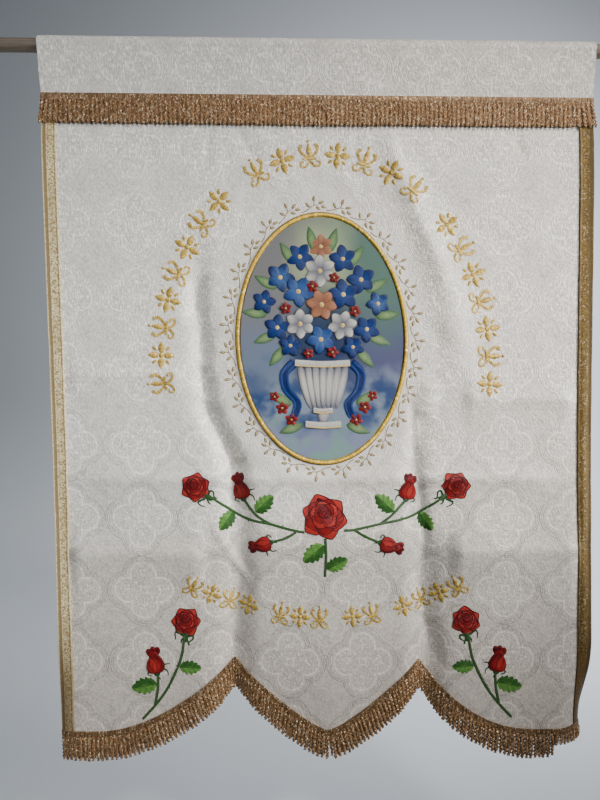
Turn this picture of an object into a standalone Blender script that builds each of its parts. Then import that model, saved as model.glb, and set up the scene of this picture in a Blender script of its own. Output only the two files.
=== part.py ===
# Church banner of white damask on a wooden rod, in metres with +Z up.
# X runs along the rod, the front faces -Y, and the origin is the middle of the rod's axis.
# Each sewn piece is modelled flat, in pattern space, and then hung: a pattern point (x, y, z)
# lies x across the cloth, -y in front of its middle layer, and -z down from the top fold.
import math
from collections import namedtuple

import bmesh
import bpy
from mathutils import Vector

# The banner's main sizes
WIDTH = 0.850
HALF = WIDTH / 2
LEAN = 0.0186             # the cloth hangs this much to the right for each metre down
PANEL_THICK = 0.0016
PANEL_TOP = 0.078         # down from the top fold; it lies between the heading's two legs
LAYER_GAP = 0.0004

# The rod and the heading that is folded over it
ROD_RADIUS = 0.010
ROD_LENGTH = 1.050
ROD_SIDES = 24
ROD_CHAMFER = 0.001
ROD_CLEARANCE = 0.002
HEADING_THICK = 0.0014
HEADING_SEAM = 0.083      # down from the top fold to where both legs meet the panel
HEADING_EDGE = 0.092      # down to the legs' lower edges
HEADING_ARC_STEPS = 8
FOLD_TOP_Z = ROD_RADIUS + ROD_CLEARANCE + HEADING_THICK

# The braids along both sides
BRAID_WIDTH = 0.022
BRAID_THICK = 0.0012
BRAID_TOP = 0.0935

# The two fringes
FRINGE_HEADER = 0.010
FRINGE_THICK = 0.0018
TOP_FRINGE_DOWN = 0.0855
TOP_FRINGE_COLUMNS = 10
STRAND_PITCH = 0.0071
STRAND_SHARE = 0.70       # a strand's root takes this share of the pitch
STRAND_TAPER = 0.85
TOP_STRAND_LENGTH = 0.0375
HEM_STRAND_LENGTH = 0.0375
SHORT_FROM = 0.357        # strands past this place, on the curled corner, are shorter
SHORT_REACH = 0.008
SHORT_BY = 0.021
STRAND_UNEVEN = 0.0016
STRAND_SWAY = 0.0012
END_FLARE = 0.006         # the outermost top strands lean out by this much
END_FLARE_REACH = 0.030
HEM_LEAN = 0.45           # how far hem strands turn square to the scallop
CUSP_CALM = 0.070         # nearer to a cusp than this, strands hang straighter

# The medallion and its stitched border
MEDALLION_DOWN = 0.4595
MEDALLION_HALF_WIDTH = 0.136
MEDALLION_HALF_HEIGHT = 0.198
BORDER_WIDTH = 0.008
BORDER_TOP_WIDTH = 0.0045
BORDER_PROUD = 0.0028
MEDALLION_THICK = 0.0012
OVAL_SIDES = 48

# Folds die out under the stiff medallion, between these multiples of its oval
FLAT_TO = 1.12
FOLDED_FROM = 1.50

# Folds start below the heading
FOLDS_FROM = 0.10
FOLDS_FULL = 0.16

# The hem's header line: each half scallop runs from its low point to a cusp
Scallop = namedtuple("Scallop", "low_across cusp_across low_down cusp_down power")
SCALLOPS = (
    Scallop(-0.360, -0.147, 1.082, 0.967, 1.75),
    Scallop(0.000, -0.147, 1.075, 0.967, 1.30),
    Scallop(0.000, 0.147, 1.075, 0.970, 1.30),
    Scallop(0.335, 0.147, 1.082, 0.970, 2.20),
)
LOWEST = 1.082
HEM_BEND_POWER = 3.5      # rows of the panel bend towards the hem's shape as they near it

# Columns of the panel, closer together where folds run
Span = namedtuple("Span", "start stop cells")
COLUMNS = (
    Span(-HALF, -HALF + BRAID_WIDTH, 2),
    Span(-HALF + BRAID_WIDTH, -0.215, 7),
    Span(-0.215, -0.147, 4),
    Span(-0.147, -0.105, 3),
    Span(-0.105, 0.105, 8),
    Span(0.105, 0.147, 3),
    Span(0.147, 0.215, 4),
    Span(0.215, 0.355, 5),
    Span(0.355, HALF - BRAID_WIDTH, 4),
    Span(HALF - BRAID_WIDTH, HALF, 2),
)
PANEL_ROWS = 28

# Soft folds: each is a run of sections, and depth is how far the cloth falls back there
Section = namedtuple("Section", "down across depth half_width")
FOLDS = {
    "left_groove": (
        Section(0.27, -0.192, 0.000, 0.020),
        Section(0.38, -0.190, 0.008, 0.018),
        Section(0.52, -0.187, 0.009, 0.018),
        Section(0.60, -0.166, 0.009, 0.019),
        Section(0.66, -0.142, 0.010, 0.020),
        Section(0.76, -0.136, 0.008, 0.021),
        Section(0.86, -0.137, 0.012, 0.022),
        Section(0.97, -0.148, 0.014, 0.024),
        Section(1.14, -0.150, 0.014, 0.026),
    ),
    "right_groove": (
        Section(0.54, 0.152, 0.000, 0.020),
        Section(0.62, 0.140, 0.008, 0.020),
        Section(0.70, 0.141, 0.006, 0.020),
        Section(0.80, 0.155, 0.008, 0.022),
        Section(0.88, 0.160, 0.012, 0.022),
        Section(0.97, 0.160, 0.014, 0.024),
        Section(1.14, 0.152, 0.014, 0.026),
    ),
    "right_ridge": (
        Section(0.12, 0.114, 0.000, 0.020),
        Section(0.18, 0.119, -0.005, 0.020),
        Section(0.30, 0.170, -0.006, 0.024),
        Section(0.44, 0.209, -0.005, 0.028),
        Section(0.60, 0.222, 0.000, 0.030),
    ),
    "middle_belly": (
        Section(0.76, 0.000, 0.000, 0.080),
        Section(0.95, 0.000, -0.006, 0.080),
        Section(1.14, 0.000, -0.008, 0.085),
    ),
}

# The long wave from top to bottom: how far forward the cloth stands at each height
Wave = namedtuple("Wave", "down forward")
WAVES = (
    Wave(0.10, 0.000),
    Wave(0.30, 0.002),
    Wave(0.55, 0.001),
    Wave(0.66, 0.002),
    Wave(0.71, 0.006),
    Wave(0.78, 0.011),
    Wave(0.86, 0.003),
    Wave(0.95, 0.009),
    Wave(1.14, 0.012),
)

# The side edges hang straighter, and have a wave of their own
EDGE_WAVES = (
    Wave(0.10, 0.003),
    Wave(0.22, 0.0055),
    Wave(0.40, 0.003),
    Wave(0.60, 0.001),
    Wave(0.80, 0.003),
    Wave(0.95, 0.006),
    Wave(1.14, 0.009),
)
EDGE_FROM = 0.45          # it takes over between these shares of the half width
EDGE_FULL = 0.90

# Side edges that curl back near the hem
Curl = namedtuple("Curl", "side start full width turn")
CURLS = (
    Curl(1, 0.930, 1.080, 0.060, math.radians(60)),
    Curl(-1, 0.900, 1.080, 0.035, math.radians(24)),
)

Finish = namedtuple("Finish", "color roughness metallic")
FINISHES = {
    "damask": Finish((0.70, 0.68, 0.65), 0.55, 0.0),
    "rod_wood": Finish((0.20, 0.15, 0.11), 0.60, 0.0),
    "copper_fringe": Finish((0.42, 0.24, 0.12), 0.40, 0.6),
    "gold_braid": Finish((0.60, 0.43, 0.18), 0.35, 0.8),
    "gold_border": Finish((0.72, 0.55, 0.20), 0.35, 0.6),
    "medallion_cloth": Finish((0.30, 0.36, 0.50), 0.50, 0.0),
}


def smooth(value):
    # 0 below 0, 1 above 1, and an even S between
    t = min(max(value, 0.0), 1.0)
    return t * t * (3 - 2 * t)


def between(rows, down, column):
    # A smooth curve through one named column of a table whose rows go down the cloth
    values = [getattr(row, column) for row in rows]
    if down <= rows[0].down:
        return values[0]
    if down >= rows[-1].down:
        return values[-1]
    i = max(k for k in range(len(rows) - 1) if rows[k].down <= down)
    t = (down - rows[i].down) / (rows[i + 1].down - rows[i].down)
    before = values[max(i - 1, 0)]
    start, stop = values[i], values[i + 1]
    after = values[min(i + 2, len(rows) - 1)]
    slope_in = (stop - before) / 2
    slope_out = (after - start) / 2
    bend = (3 * (stop - start) - 2 * slope_in - slope_out) * t * t
    twist = (2 * (start - stop) + slope_in + slope_out) * t ** 3
    return start + slope_in * t + bend + twist


def forward_wave(across, down):
    middle = between(WAVES, down, "forward")
    edge = between(EDGE_WAVES, down, "forward")
    near_edge = smooth((abs(across) / HALF - EDGE_FROM) / (EDGE_FULL - EDGE_FROM))
    return middle + (edge - middle) * near_edge


def fold_back(across, down):
    # How far one point falls back from the flat cloth
    depth = -forward_wave(across, down)
    for rows in FOLDS.values():
        centre = between(rows, down, "across")
        half_width = between(rows, down, "half_width")
        depth += between(rows, down, "depth") * math.exp(-((across - centre) / half_width) ** 2)
    oval = math.hypot(across / MEDALLION_HALF_WIDTH, (down - MEDALLION_DOWN) / MEDALLION_HALF_HEIGHT)
    free = smooth((oval - FLAT_TO) / (FOLDED_FROM - FLAT_TO))
    return depth * free * smooth((down - FOLDS_FROM) / (FOLDS_FULL - FOLDS_FROM))


def middle_point(across, down):
    # The cloth's middle layer, where the point hangs
    x = across
    y = fold_back(across, down)
    for curl in CURLS:
        past = abs(across) - (HALF - curl.width)
        turn = curl.turn * smooth((down - curl.start) / (curl.full - curl.start)) / curl.width
        if across * curl.side > 0 and past > 0 and turn > 0:
            x = curl.side * (HALF - curl.width + math.sin(turn * past) / turn)
            y += (1 - math.cos(turn * past)) / turn
    return Vector((x + LEAN * down, y, FOLD_TOP_Z - down))


def hung_point(pattern):
    # Where a point of the flat pattern hangs, square in front of or behind the middle layer
    step = 0.001
    across, down = pattern.x, -pattern.z
    along = middle_point(across + step, down) - middle_point(across - step, down)
    fall = middle_point(across, down + step) - middle_point(across, down - step)
    front = fall.cross(along).normalized()
    return middle_point(across, down) + front * -pattern.y


def hem_line(across):
    # Down to the top of the hem fringe's header
    if across < SCALLOPS[0].cusp_across:
        part = SCALLOPS[0]
    elif across < 0:
        part = SCALLOPS[1]
    elif across <= SCALLOPS[3].cusp_across:
        part = SCALLOPS[2]
    else:
        part = SCALLOPS[3]
    climb = max((across - part.low_across) / (part.cusp_across - part.low_across), 0.0)
    return part.low_down - (part.low_down - part.cusp_down) * climb ** part.power


def column_places(spans):
    places = [spans[0].start]
    for span in spans:
        step = (span.stop - span.start) / span.cells
        places += [span.start + step * (i + 1) for i in range(span.cells)]
    return places


def even_columns(cells):
    return column_places((Span(-HALF, HALF, cells),))


def panel_row(across, row):
    # Row 0 is the hidden top edge, row 1 the braids' top, and the last two hold the hem's header
    if row == 0:
        return PANEL_TOP
    if row > PANEL_ROWS:
        return hem_line(across) + FRINGE_HEADER
    share = (row - 1) / (PANEL_ROWS - 1)
    rise = (LOWEST - hem_line(across)) * share ** HEM_BEND_POWER
    return BRAID_TOP + (LOWEST - BRAID_TOP) * share - rise


def flat_slab(places, row_count, row_down, back, front):
    # A closed slab in pattern space with a grid of faces on its front and back
    bm = bmesh.new()
    cells = len(places) - 1
    bmesh.ops.create_grid(bm, x_segments=cells, y_segments=row_count, size=0.5)
    for vert in bm.verts:
        across = places[round((vert.co.x + 0.5) * cells)]
        row = round((0.5 - vert.co.y) * row_count)
        vert.co = (across, -back, -row_down(across, row))
    sheet = bmesh.ops.extrude_face_region(bm, geom=bm.faces[:])
    raised = [item for item in sheet["geom"] if isinstance(item, bmesh.types.BMVert)]
    bmesh.ops.translate(bm, verts=raised, vec=(0, back - front, 0))
    return bm


def hang(bm):
    for vert in bm.verts:
        vert.co = hung_point(vert.co)


def hang_on_columns(bm, places):
    # Hangs what lies over the panel's flat faces: straight from each column to the next
    for vert in bm.verts:
        cell = max(i for i in range(len(places) - 1) if i == 0 or places[i] <= vert.co.x)
        left, right = (Vector((place, vert.co.y, vert.co.z)) for place in places[cell:cell + 2])
        share = (vert.co.x - left.x) / (right.x - left.x)
        vert.co = hung_point(left).lerp(hung_point(right), share)


def make_material(name):
    finish = FINISHES[name]
    material = bpy.data.materials.get(name) or bpy.data.materials.new(name)
    material.use_nodes = True
    shader = material.node_tree.nodes["Principled BSDF"]
    shader.inputs["Base Color"].default_value = (*finish.color, 1.0)
    shader.inputs["Roughness"].default_value = finish.roughness
    shader.inputs["Metallic"].default_value = finish.metallic
    return material


def add_object(name, bm, material, smooth_angle=None):
    bmesh.ops.recalc_face_normals(bm, faces=bm.faces[:])
    mesh = bpy.data.meshes.new(name)
    bm.to_mesh(mesh)
    bm.free()
    mesh.materials.append(make_material(material))
    if smooth_angle is not None:
        mesh.shade_smooth()
        mesh.set_sharp_from_angle(angle=math.radians(smooth_angle))
    piece = bpy.data.objects.new(name, mesh)
    bpy.context.scene.collection.objects.link(piece)
    return piece


def make_rod():
    bm = bmesh.new()
    bmesh.ops.create_cone(bm, cap_ends=True, segments=ROD_SIDES, radius1=ROD_RADIUS,
                          radius2=ROD_RADIUS, depth=ROD_LENGTH)
    rims = [edge for edge in bm.edges if abs(edge.verts[0].co.z - edge.verts[1].co.z) < 1e-6]
    bmesh.ops.bevel(bm, geom=rims, offset=ROD_CHAMFER, affect="EDGES", segments=1, profile=0.5,
                    material=-1)
    rod = add_object("rod", bm, "rod_wood", 40)
    rod.rotation_euler = (0, math.radians(90), 0)


def heading_profile():
    # Inner and outer outlines in the YZ plane, from the front leg's edge over the rod to the back
    inner_seam = PANEL_THICK / 2 + LAYER_GAP
    inner_radius = ROD_RADIUS + ROD_CLEARANCE
    outlines = []
    for side_step, radius in ((0.0, inner_radius), (HEADING_THICK, inner_radius + HEADING_THICK)):
        leg = [(inner_seam + side_step, FOLD_TOP_Z - HEADING_EDGE),
               (inner_seam + side_step, FOLD_TOP_Z - HEADING_SEAM)]
        turns = [math.pi * i / HEADING_ARC_STEPS for i in range(HEADING_ARC_STEPS + 1)]
        front = [(-y, z) for y, z in leg]
        arc = [(-radius * math.cos(turn), radius * math.sin(turn)) for turn in turns]
        outlines.append(front + arc + list(reversed(leg)))
    return outlines[0] + list(reversed(outlines[1]))


def make_heading():
    bm = bmesh.new()
    end = bm.faces.new([bm.verts.new((-HALF, y, z)) for y, z in heading_profile()])
    run = bmesh.ops.extrude_face_region(bm, geom=[end])["geom"]
    far_end = [item for item in run if isinstance(item, bmesh.types.BMVert)]
    bmesh.ops.translate(bm, verts=far_end, vec=(WIDTH, 0, 0))
    for vert in bm.verts:
        vert.co.x += LEAN * (FOLD_TOP_Z - vert.co.z)
    add_object("heading_sleeve", bm, "damask", 30)


def make_panel():
    bm = flat_slab(column_places(COLUMNS), PANEL_ROWS + 1, panel_row, -PANEL_THICK / 2, PANEL_THICK / 2)
    hang(bm)
    add_object("panel", bm, "damask", 60)


def make_braid(name, side):
    places = [place for place in column_places(COLUMNS) if place * side >= HALF - BRAID_WIDTH - 1e-6]
    back = PANEL_THICK / 2 + LAYER_GAP

    def row_down(across, row):
        above_header = LAYER_GAP if row == PANEL_ROWS - 1 else 0.0
        return panel_row(across, row + 1) - above_header

    bm = flat_slab(places, PANEL_ROWS - 1, row_down, back, back + BRAID_THICK)
    hang(bm)
    add_object(name, bm, "gold_braid", 60)


def place_across(face):
    return face.calc_center_median().x


def lower_faces(bm):
    # The faces that look down, in order across the cloth
    bm.normal_update()
    return sorted([face for face in bm.faces if face.normal.z < -0.4], key=place_across)


def cut_strand_roots(bm):
    # Divides the header's lower face, between columns, into roots and gaps, and gives the roots
    for bay in lower_faces(bm):
        long_edges = [edge for edge in bay.edges if abs(edge.verts[0].co.y - edge.verts[1].co.y) < 1e-6]
        strands = max(round(long_edges[0].calc_length() / STRAND_PITCH), 1)
        bmesh.ops.subdivide_edges(bm, edges=long_edges, cuts=2 * strands - 1)
    cells = lower_faces(bm)
    widen = 2 * STRAND_SHARE - 1
    for root, gap in zip(cells[0::2], cells[1::2]):
        shift = (gap.calc_center_median() - root.calc_center_median()) * widen
        shared = [vert for vert in root.verts if vert in gap.verts]
        bmesh.ops.translate(bm, verts=shared, vec=shift)
    return cells[0::2]


def grow_strands(bm, roots, fall):
    # Draws every strand out of its root; fall gives a strand's run for its number and place
    places = [root.calc_center_median() for root in roots]
    tips = bmesh.ops.extrude_discrete_faces(bm, faces=roots)["faces"]
    tips.sort(key=place_across)
    for number, (tip, place) in enumerate(zip(tips, places)):
        end = place + fall(number, place.x)
        for vert in tip.verts:
            vert.co = end + (vert.co - place) * STRAND_TAPER


def uneven(number, step):
    # An even mix of two slow beats, the same in each run
    return (math.sin(number * step) + math.sin(number * step * 2.37 + 1.0)) / 2


def top_fall(number, across):
    flare = END_FLARE * smooth(1 - (HALF - abs(across)) / END_FLARE_REACH)
    sideways = math.copysign(flare, across) + STRAND_SWAY * uneven(number, 1.9)
    length = TOP_STRAND_LENGTH + STRAND_UNEVEN * uneven(number, 2.7)
    return Vector((sideways, 0.0, -length))


def hem_fall(number, across):
    step = 0.002
    slope = (hem_line(across + step) - hem_line(across - step)) / (2 * step)
    nearest = min(abs(across - part.cusp_across) for part in SCALLOPS)
    lean = HEM_LEAN * smooth(nearest / CUSP_CALM)
    length = HEM_STRAND_LENGTH + STRAND_UNEVEN * uneven(number, 2.3)
    length -= SHORT_BY * smooth((across - SHORT_FROM) / SHORT_REACH)
    aim = Vector((-slope * lean, 0.0, -1.0)).normalized()
    return aim * length + Vector((STRAND_SWAY * uneven(number, 1.7) * smooth(nearest / CUSP_CALM), 0, 0))


def make_fringe(name, places, header_top, back, fall):
    def row_down(across, row):
        return header_top(across) + FRINGE_HEADER * row

    bm = flat_slab(places, 1, row_down, back, back + FRINGE_THICK)
    bmesh.ops.recalc_face_normals(bm, faces=bm.faces[:])
    grow_strands(bm, cut_strand_roots(bm), fall)
    hang_on_columns(bm, places)
    add_object(name, bm, "copper_fringe")


def make_fringes():
    over_panel = PANEL_THICK / 2 + LAYER_GAP
    over_heading = over_panel + HEADING_THICK + LAYER_GAP
    make_fringe("top_fringe", even_columns(TOP_FRINGE_COLUMNS), lambda across: TOP_FRINGE_DOWN,
                over_heading, top_fall)
    make_fringe("hem_fringe", column_places(COLUMNS), hem_line, over_panel, hem_fall)


def oval_ring(bm, inset, proud):
    # One ring of points on the medallion's oval, drawn in by an inset, at one height
    ring = bmesh.ops.create_circle(bm, cap_ends=False, radius=1.0, segments=OVAL_SIDES)["verts"]
    for vert in ring:
        across = vert.co.x * (MEDALLION_HALF_WIDTH - inset)
        down = MEDALLION_DOWN - vert.co.y * (MEDALLION_HALF_HEIGHT - inset)
        vert.co = (across, -proud, -down)
    return {edge for vert in ring for edge in vert.link_edges}


def make_medallion():
    back = PANEL_THICK / 2 + LAYER_GAP
    bm = bmesh.new()
    rim = oval_ring(bm, BORDER_WIDTH + LAYER_GAP, back)
    bmesh.ops.edgeloop_fill(bm, edges=list(rim))
    raised = bmesh.ops.extrude_face_region(bm, geom=bm.faces[:], use_keep_orig=True)["geom"]
    raised = [item for item in raised if isinstance(item, bmesh.types.BMVert)]
    bmesh.ops.translate(bm, verts=raised, vec=(0, -MEDALLION_THICK, 0))
    hang(bm)
    add_object("medallion_panel", bm, "medallion_cloth", 40)


def make_border():
    back = PANEL_THICK / 2 + LAYER_GAP
    slope = (BORDER_WIDTH - BORDER_TOP_WIDTH) / 2
    corners = ((0.0, back), (slope, back + BORDER_PROUD), (BORDER_WIDTH - slope, back + BORDER_PROUD),
               (BORDER_WIDTH, back))
    bm = bmesh.new()
    rings = [oval_ring(bm, inset, proud) for inset, proud in corners]
    for ring, following in zip(rings, rings[1:] + rings[:1]):
        bmesh.ops.bridge_loops(bm, edges=list(ring | following))
    hang(bm)
    add_object("medallion_border", bm, "gold_border", 50)


def clear_scene():
    for old in list(bpy.data.objects):
        bpy.data.objects.remove(old, do_unlink=True)


def build_banner():
    clear_scene()
    make_rod()
    make_heading()
    make_panel()
    make_braid("braid_left", -1)
    make_braid("braid_right", 1)
    make_fringes()
    make_medallion()
    make_border()


build_banner()
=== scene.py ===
import math
from functools import lru_cache

import bmesh
import bpy
import numpy as np
from mathutils import Matrix, Vector


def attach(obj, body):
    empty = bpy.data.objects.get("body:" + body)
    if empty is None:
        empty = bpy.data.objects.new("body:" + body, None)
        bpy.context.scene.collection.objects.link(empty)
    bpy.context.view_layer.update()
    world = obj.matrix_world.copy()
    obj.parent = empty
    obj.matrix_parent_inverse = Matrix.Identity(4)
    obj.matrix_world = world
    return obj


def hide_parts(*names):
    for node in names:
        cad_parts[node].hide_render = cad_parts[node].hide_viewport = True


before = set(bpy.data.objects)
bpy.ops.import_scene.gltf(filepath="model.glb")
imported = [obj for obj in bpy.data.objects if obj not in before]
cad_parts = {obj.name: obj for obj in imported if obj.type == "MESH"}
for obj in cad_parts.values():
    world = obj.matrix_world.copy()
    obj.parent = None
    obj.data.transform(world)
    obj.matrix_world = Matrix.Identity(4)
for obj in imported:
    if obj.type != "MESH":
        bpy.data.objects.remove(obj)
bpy.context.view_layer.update()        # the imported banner: rod, heading, panel, fringes, braids, medallion
print("frame loaded with", len(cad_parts), "nodes")

# Everything sewn is modelled flat, in pattern space, and then hung. A pattern point (x, y, z)
# lies x across the cloth, -y in front of its middle layer and -z down from the top fold.

cloth = {
    "width": 0.850,
    "lean": 0.0186,          # to the right for each metre down
    "thick": 0.0016,
    "top": 0.078,            # down to the panel's hidden top edge
    "gap": 0.0004,           # between sewn layers
    "foldTop": 0.0134,       # the top fold stands this high over the rod's axis
    "columns": 208,
    "rows": 186,
    "foldsFrom": 0.10,
    "foldsFull": 0.16,
    "edgeFrom": 0.45,        # the side edges' own wave takes over between these shares of half
    "edgeFull": 0.90,
    "crumple": 0.0007,       # small unevenness of the hung cloth
    "crumpleSize": 0.034,
    "pucker": 0.0006,        # finer unevenness beside the embroidery
    "puckerSize": 0.013,
    "puckerAt": 1.25,        # pucker is strongest at this multiple of the medallion's oval
    "puckerReach": 0.35,
}
half = cloth["width"] / 2


def mm(table):
    # lengths in mm, as metres
    if isinstance(table, dict):
        return {key: mm(value) for key, value in table.items()}
    return tuple(mm(item) for item in table) if isinstance(table, tuple) else table / 1000


# Soft folds, each a run of rows in mm: down, across, depth back, half width
folds = mm({
    "leftGroove": (
        (270, -192, 0, 20), (380, -190, 8, 18), (520, -187, 9, 18),
        (600, -166, 9, 19), (660, -142, 10, 20), (760, -136, 8, 21),
        (860, -137, 12, 22), (970, -148, 14, 24), (1140, -150, 14, 26),
    ),
    "rightGroove": (
        (540, 152, 0, 20), (620, 140, 8, 20), (700, 141, 6, 20),
        (800, 155, 8, 22), (880, 160, 12, 22), (970, 160, 14, 24),
        (1140, 152, 14, 26),
    ),
    "rightRidge": (
        (120, 114, 0, 20), (180, 119, -5, 20), (300, 170, -6, 24),
        (440, 209, -5, 28), (600, 222, 0, 30),
    ),
    "middleBelly": (
        (760, 0, 0, 80), (950, 0, -6, 80), (1140, 0, -8, 85),
    ),
})

# The cloth's long wave from top to bottom in its middle and at its side edges, in mm: down, forward
waves = mm((
    (100, 0), (300, 2), (550, 1), (660, 2), (710, 6), (780, 11),
    (860, 3), (950, 9), (1140, 12),
))

edgeWaves = mm((
    (100, 3), (220, 5.5), (400, 3), (600, 1), (800, 3), (950, 6),
    (1140, 9),
))

# Side edges that curl back near the hem
curls = (
    {"side": 1, "start": 0.930, "full": 1.080, "width": 0.060, "turn": math.radians(60)},
    {"side": -1, "start": 0.900, "full": 1.080, "width": 0.035, "turn": math.radians(24)},
)

# Sharper creases pressed into the cloth, in mm: start, stop (across, down), depth back, half width
creases = mm((
    ((-168, 136), (-178, 200), 2, 6),
    ((-128, 136), (-98, 185), 2, 6),
    ((-98, 136), (-75, 168), -1.4, 7),
    ((-205, 140), (-230, 190), 1.2, 7),
    ((120, 136), (136, 196), 1.8, 7),
    ((150, 250), (196, 330), 1.4, 8),
    ((-199, 355), (-200, 435), 6.4, 13),
    ((-187, 436), (-186, 498), 6.6, 13),
    ((-184, 500), (-186, 552), 6.2, 13),
    ((-200, 545), (-162, 616), 8, 15),
    ((-164, 606), (-134, 674), 8.6, 15),
    ((-142, 645), (-150, 740), 7.6, 15),
    ((-180, 742), (-118, 856), -3, 5.5),
    ((152, 534), (186, 536), -2.2, 4.2),
    ((150, 554), (184, 556), -2.2, 4.2),
    ((148, 572), (178, 573), -2, 4.2),
    ((168, 520), (166, 590), -3, 15),
    ((140, 545), (142, 640), 2.6, 6.5),
    ((141, 620), (160, 770), 2.2, 7),
    ((162, 740), (150, 835), 2.4, 7),
    ((144, 815), (160, 920), 2.8, 8.5),
    ((158, 895), (186, 990), 3.4, 12),
    ((-144, 850), (-150, 960), 3, 12),
    ((60, 136), (52, 175), 1.2, 6),
    ((300, 136), (318, 176), 1.2, 7),
))

# Storage creases across the cloth, in mm: start, stop, rise, how far it fades above and below
kinks = mm((
    ((-410, 680), (410, 678), 8.8, 24, 26),
    ((-415, 798), (-180, 796), 10, 30, 60),
    ((190, 792), (415, 792), 10, 30, 60),
    ((-405, 515), (-210, 516), 5.6, 18, 26),
    ((215, 550), (405, 553), 5.4, 18, 26),
))

medallion = {
    "down": 0.4595,
    "halfWidth": 0.136,
    "halfHeight": 0.198,
    "flatTo": 1.12,          # folds die out between these multiples of the oval
    "foldedFrom": 1.50,
    "looseFrom": 1.02,       # creases and crumple stop nearer to it, over this share of the oval
    "looseOver": 0.12,
    "thick": 0.0012,
    "borderWidth": 0.008,
    "borderProud": 0.0028,
}

# The hem's header line, a half scallop from its low point to a cusp each:
# low across, cusp across, low down, cusp down, power
scallops = (
    (-0.360, -0.147, 1.082, 0.967, 1.75),
    (0.000, -0.147, 1.075, 0.967, 1.30),
    (0.000, 0.147, 1.075, 0.970, 1.30),
    (0.335, 0.147, 1.082, 0.970, 2.20),
)


def smooth(value):
    t = np.clip(value, 0.0, 1.0)
    return t * t * (3 - 2 * t)


def rampOf(value, start, full):
    return smooth((value - start) / (full - start))


def alongRows(rows, down, column):
    # a smooth curve through one column of a table whose first column runs down the cloth
    table = np.array(rows)
    places, values = table[:, 0], table[:, column]
    down = np.clip(down, places[0], places[-1])
    i = np.clip(np.searchsorted(places, down, side="right") - 1, 0, len(places) - 2)
    t = (down - places[i]) / (places[i + 1] - places[i])
    start, stop = values[i], values[i + 1]
    slopeIn = (stop - values[np.maximum(i - 1, 0)]) / 2
    slopeOut = (values[np.minimum(i + 2, len(values) - 1)] - start) / 2
    bend = (3 * (stop - start) - 2 * slopeIn - slopeOut) * t ** 2
    twist = (2 * (start - stop) + slopeIn + slopeOut) * t ** 3
    return start + slopeIn * t + bend + twist


def blend(first, second, t):
    return tuple(a + (b - a) * t for a, b in zip(first, second))


def runAlong(x, y):
    # how far along a line each of its points lies
    return np.concatenate([[0], np.cumsum(np.hypot(np.diff(x), np.diff(y)))])


def link(name, data):
    thing = bpy.data.objects.new(name, data)
    bpy.context.scene.collection.objects.link(thing)
    return thing


noiseTable = np.random.default_rng(7).random((64, 64))


def cloudNoise(across, down, size):
    # smooth even noise from -1 to 1, with bumps about one size apart
    x, y = across / size + 100, down / size + 100
    i, j = np.floor(x).astype(int), np.floor(y).astype(int)
    u, v = smooth(x - i), smooth(y - j)

    def corner(a, b):
        return noiseTable[(i + a) % 64, (j + b) % 64]

    top = corner(0, 0) * (1 - u) + corner(1, 0) * u
    bottom = corner(0, 1) * (1 - u) + corner(1, 1) * u
    return (top * (1 - v) + bottom * v) * 2 - 1


def creaseBack(across, down):
    back = np.zeros_like(across)
    for start, stop, depth, width in creases:
        run = np.subtract(stop, start)
        t = np.clip(((across - start[0]) * run[0] + (down - start[1]) * run[1]) / run.dot(run), 0, 1)
        away = np.hypot(across - start[0] - t * run[0], down - start[1] - t * run[1])
        back += depth * np.exp(-(away / width) ** 2) * np.sqrt(np.sin(np.pi * t))
    return back


def kinkForward(across, down):
    forward = np.zeros_like(across)
    for start, stop, rise, above, below in kinks:
        t = (across - start[0]) / (stop[0] - start[0])
        away = down - (start[1] + (stop[1] - start[1]) * t)
        fade = smooth(np.minimum(t, 1 - t) * 8)
        forward += rise * np.exp(-np.abs(away) / np.where(away < 0, above, below)) * fade
    return forward


def foldBack(across, down):
    # how far a point falls back from the flat cloth
    nearEdge = rampOf(np.abs(across) / half, cloth["edgeFrom"], cloth["edgeFull"])
    middle, edge = alongRows(waves, down, 1), alongRows(edgeWaves, down, 1)
    depth = -(middle + (edge - middle) * nearEdge)
    for rows in folds.values():
        away = (across - alongRows(rows, down, 1)) / alongRows(rows, down, 3)
        depth = depth + alongRows(rows, down, 2) * np.exp(-away ** 2)
    oval = np.hypot(across / medallion["halfWidth"],
                    (down - medallion["down"]) / medallion["halfHeight"])
    depth = depth * rampOf(oval, medallion["flatTo"], medallion["foldedFrom"])
    loose = smooth((oval - medallion["looseFrom"]) / medallion["looseOver"])
    crumple = cloth["crumple"] * cloudNoise(across, down, cloth["crumpleSize"])
    depth = depth + (creaseBack(across, down) - kinkForward(across, down) + crumple) * loose
    near = loose * np.exp(-((oval - cloth["puckerAt"]) / cloth["puckerReach"]) ** 2)
    depth = depth + cloth["pucker"] * cloudNoise(across, down, cloth["puckerSize"]) * near
    return depth * rampOf(down, cloth["foldsFrom"], cloth["foldsFull"])


def middlePoints(across, down):
    x = across.copy()
    y = foldBack(across, down)
    for curl in curls:
        past = np.abs(across) - (half - curl["width"])
        turn = curl["turn"] * rampOf(down, curl["start"], curl["full"]) / curl["width"]
        curling = (across * curl["side"] > 0) & (past > 0) & (turn > 1e-4)
        turn = np.where(curling, turn, 1.0)
        rolled = curl["side"] * (half - curl["width"] + np.sin(turn * past) / turn)
        x = np.where(curling, rolled, x)
        y = y + np.where(curling, (1 - np.cos(turn * past)) / turn, 0.0)
    return np.stack([x + cloth["lean"] * down, y, cloth["foldTop"] - down], axis=1)


def hungPoints(pattern):
    # where points of the flat pattern hang, square in front of or behind the middle layer
    step = 0.0015
    across, down = pattern[:, 0].astype(float), -pattern[:, 2].astype(float)
    along = middlePoints(across + step, down) - middlePoints(across - step, down)
    fall = middlePoints(across, down + step) - middlePoints(across, down - step)
    front = np.cross(fall, along)
    front /= np.linalg.norm(front, axis=1, keepdims=True)
    return middlePoints(across, down) - front * pattern[:, 1:2]


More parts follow.
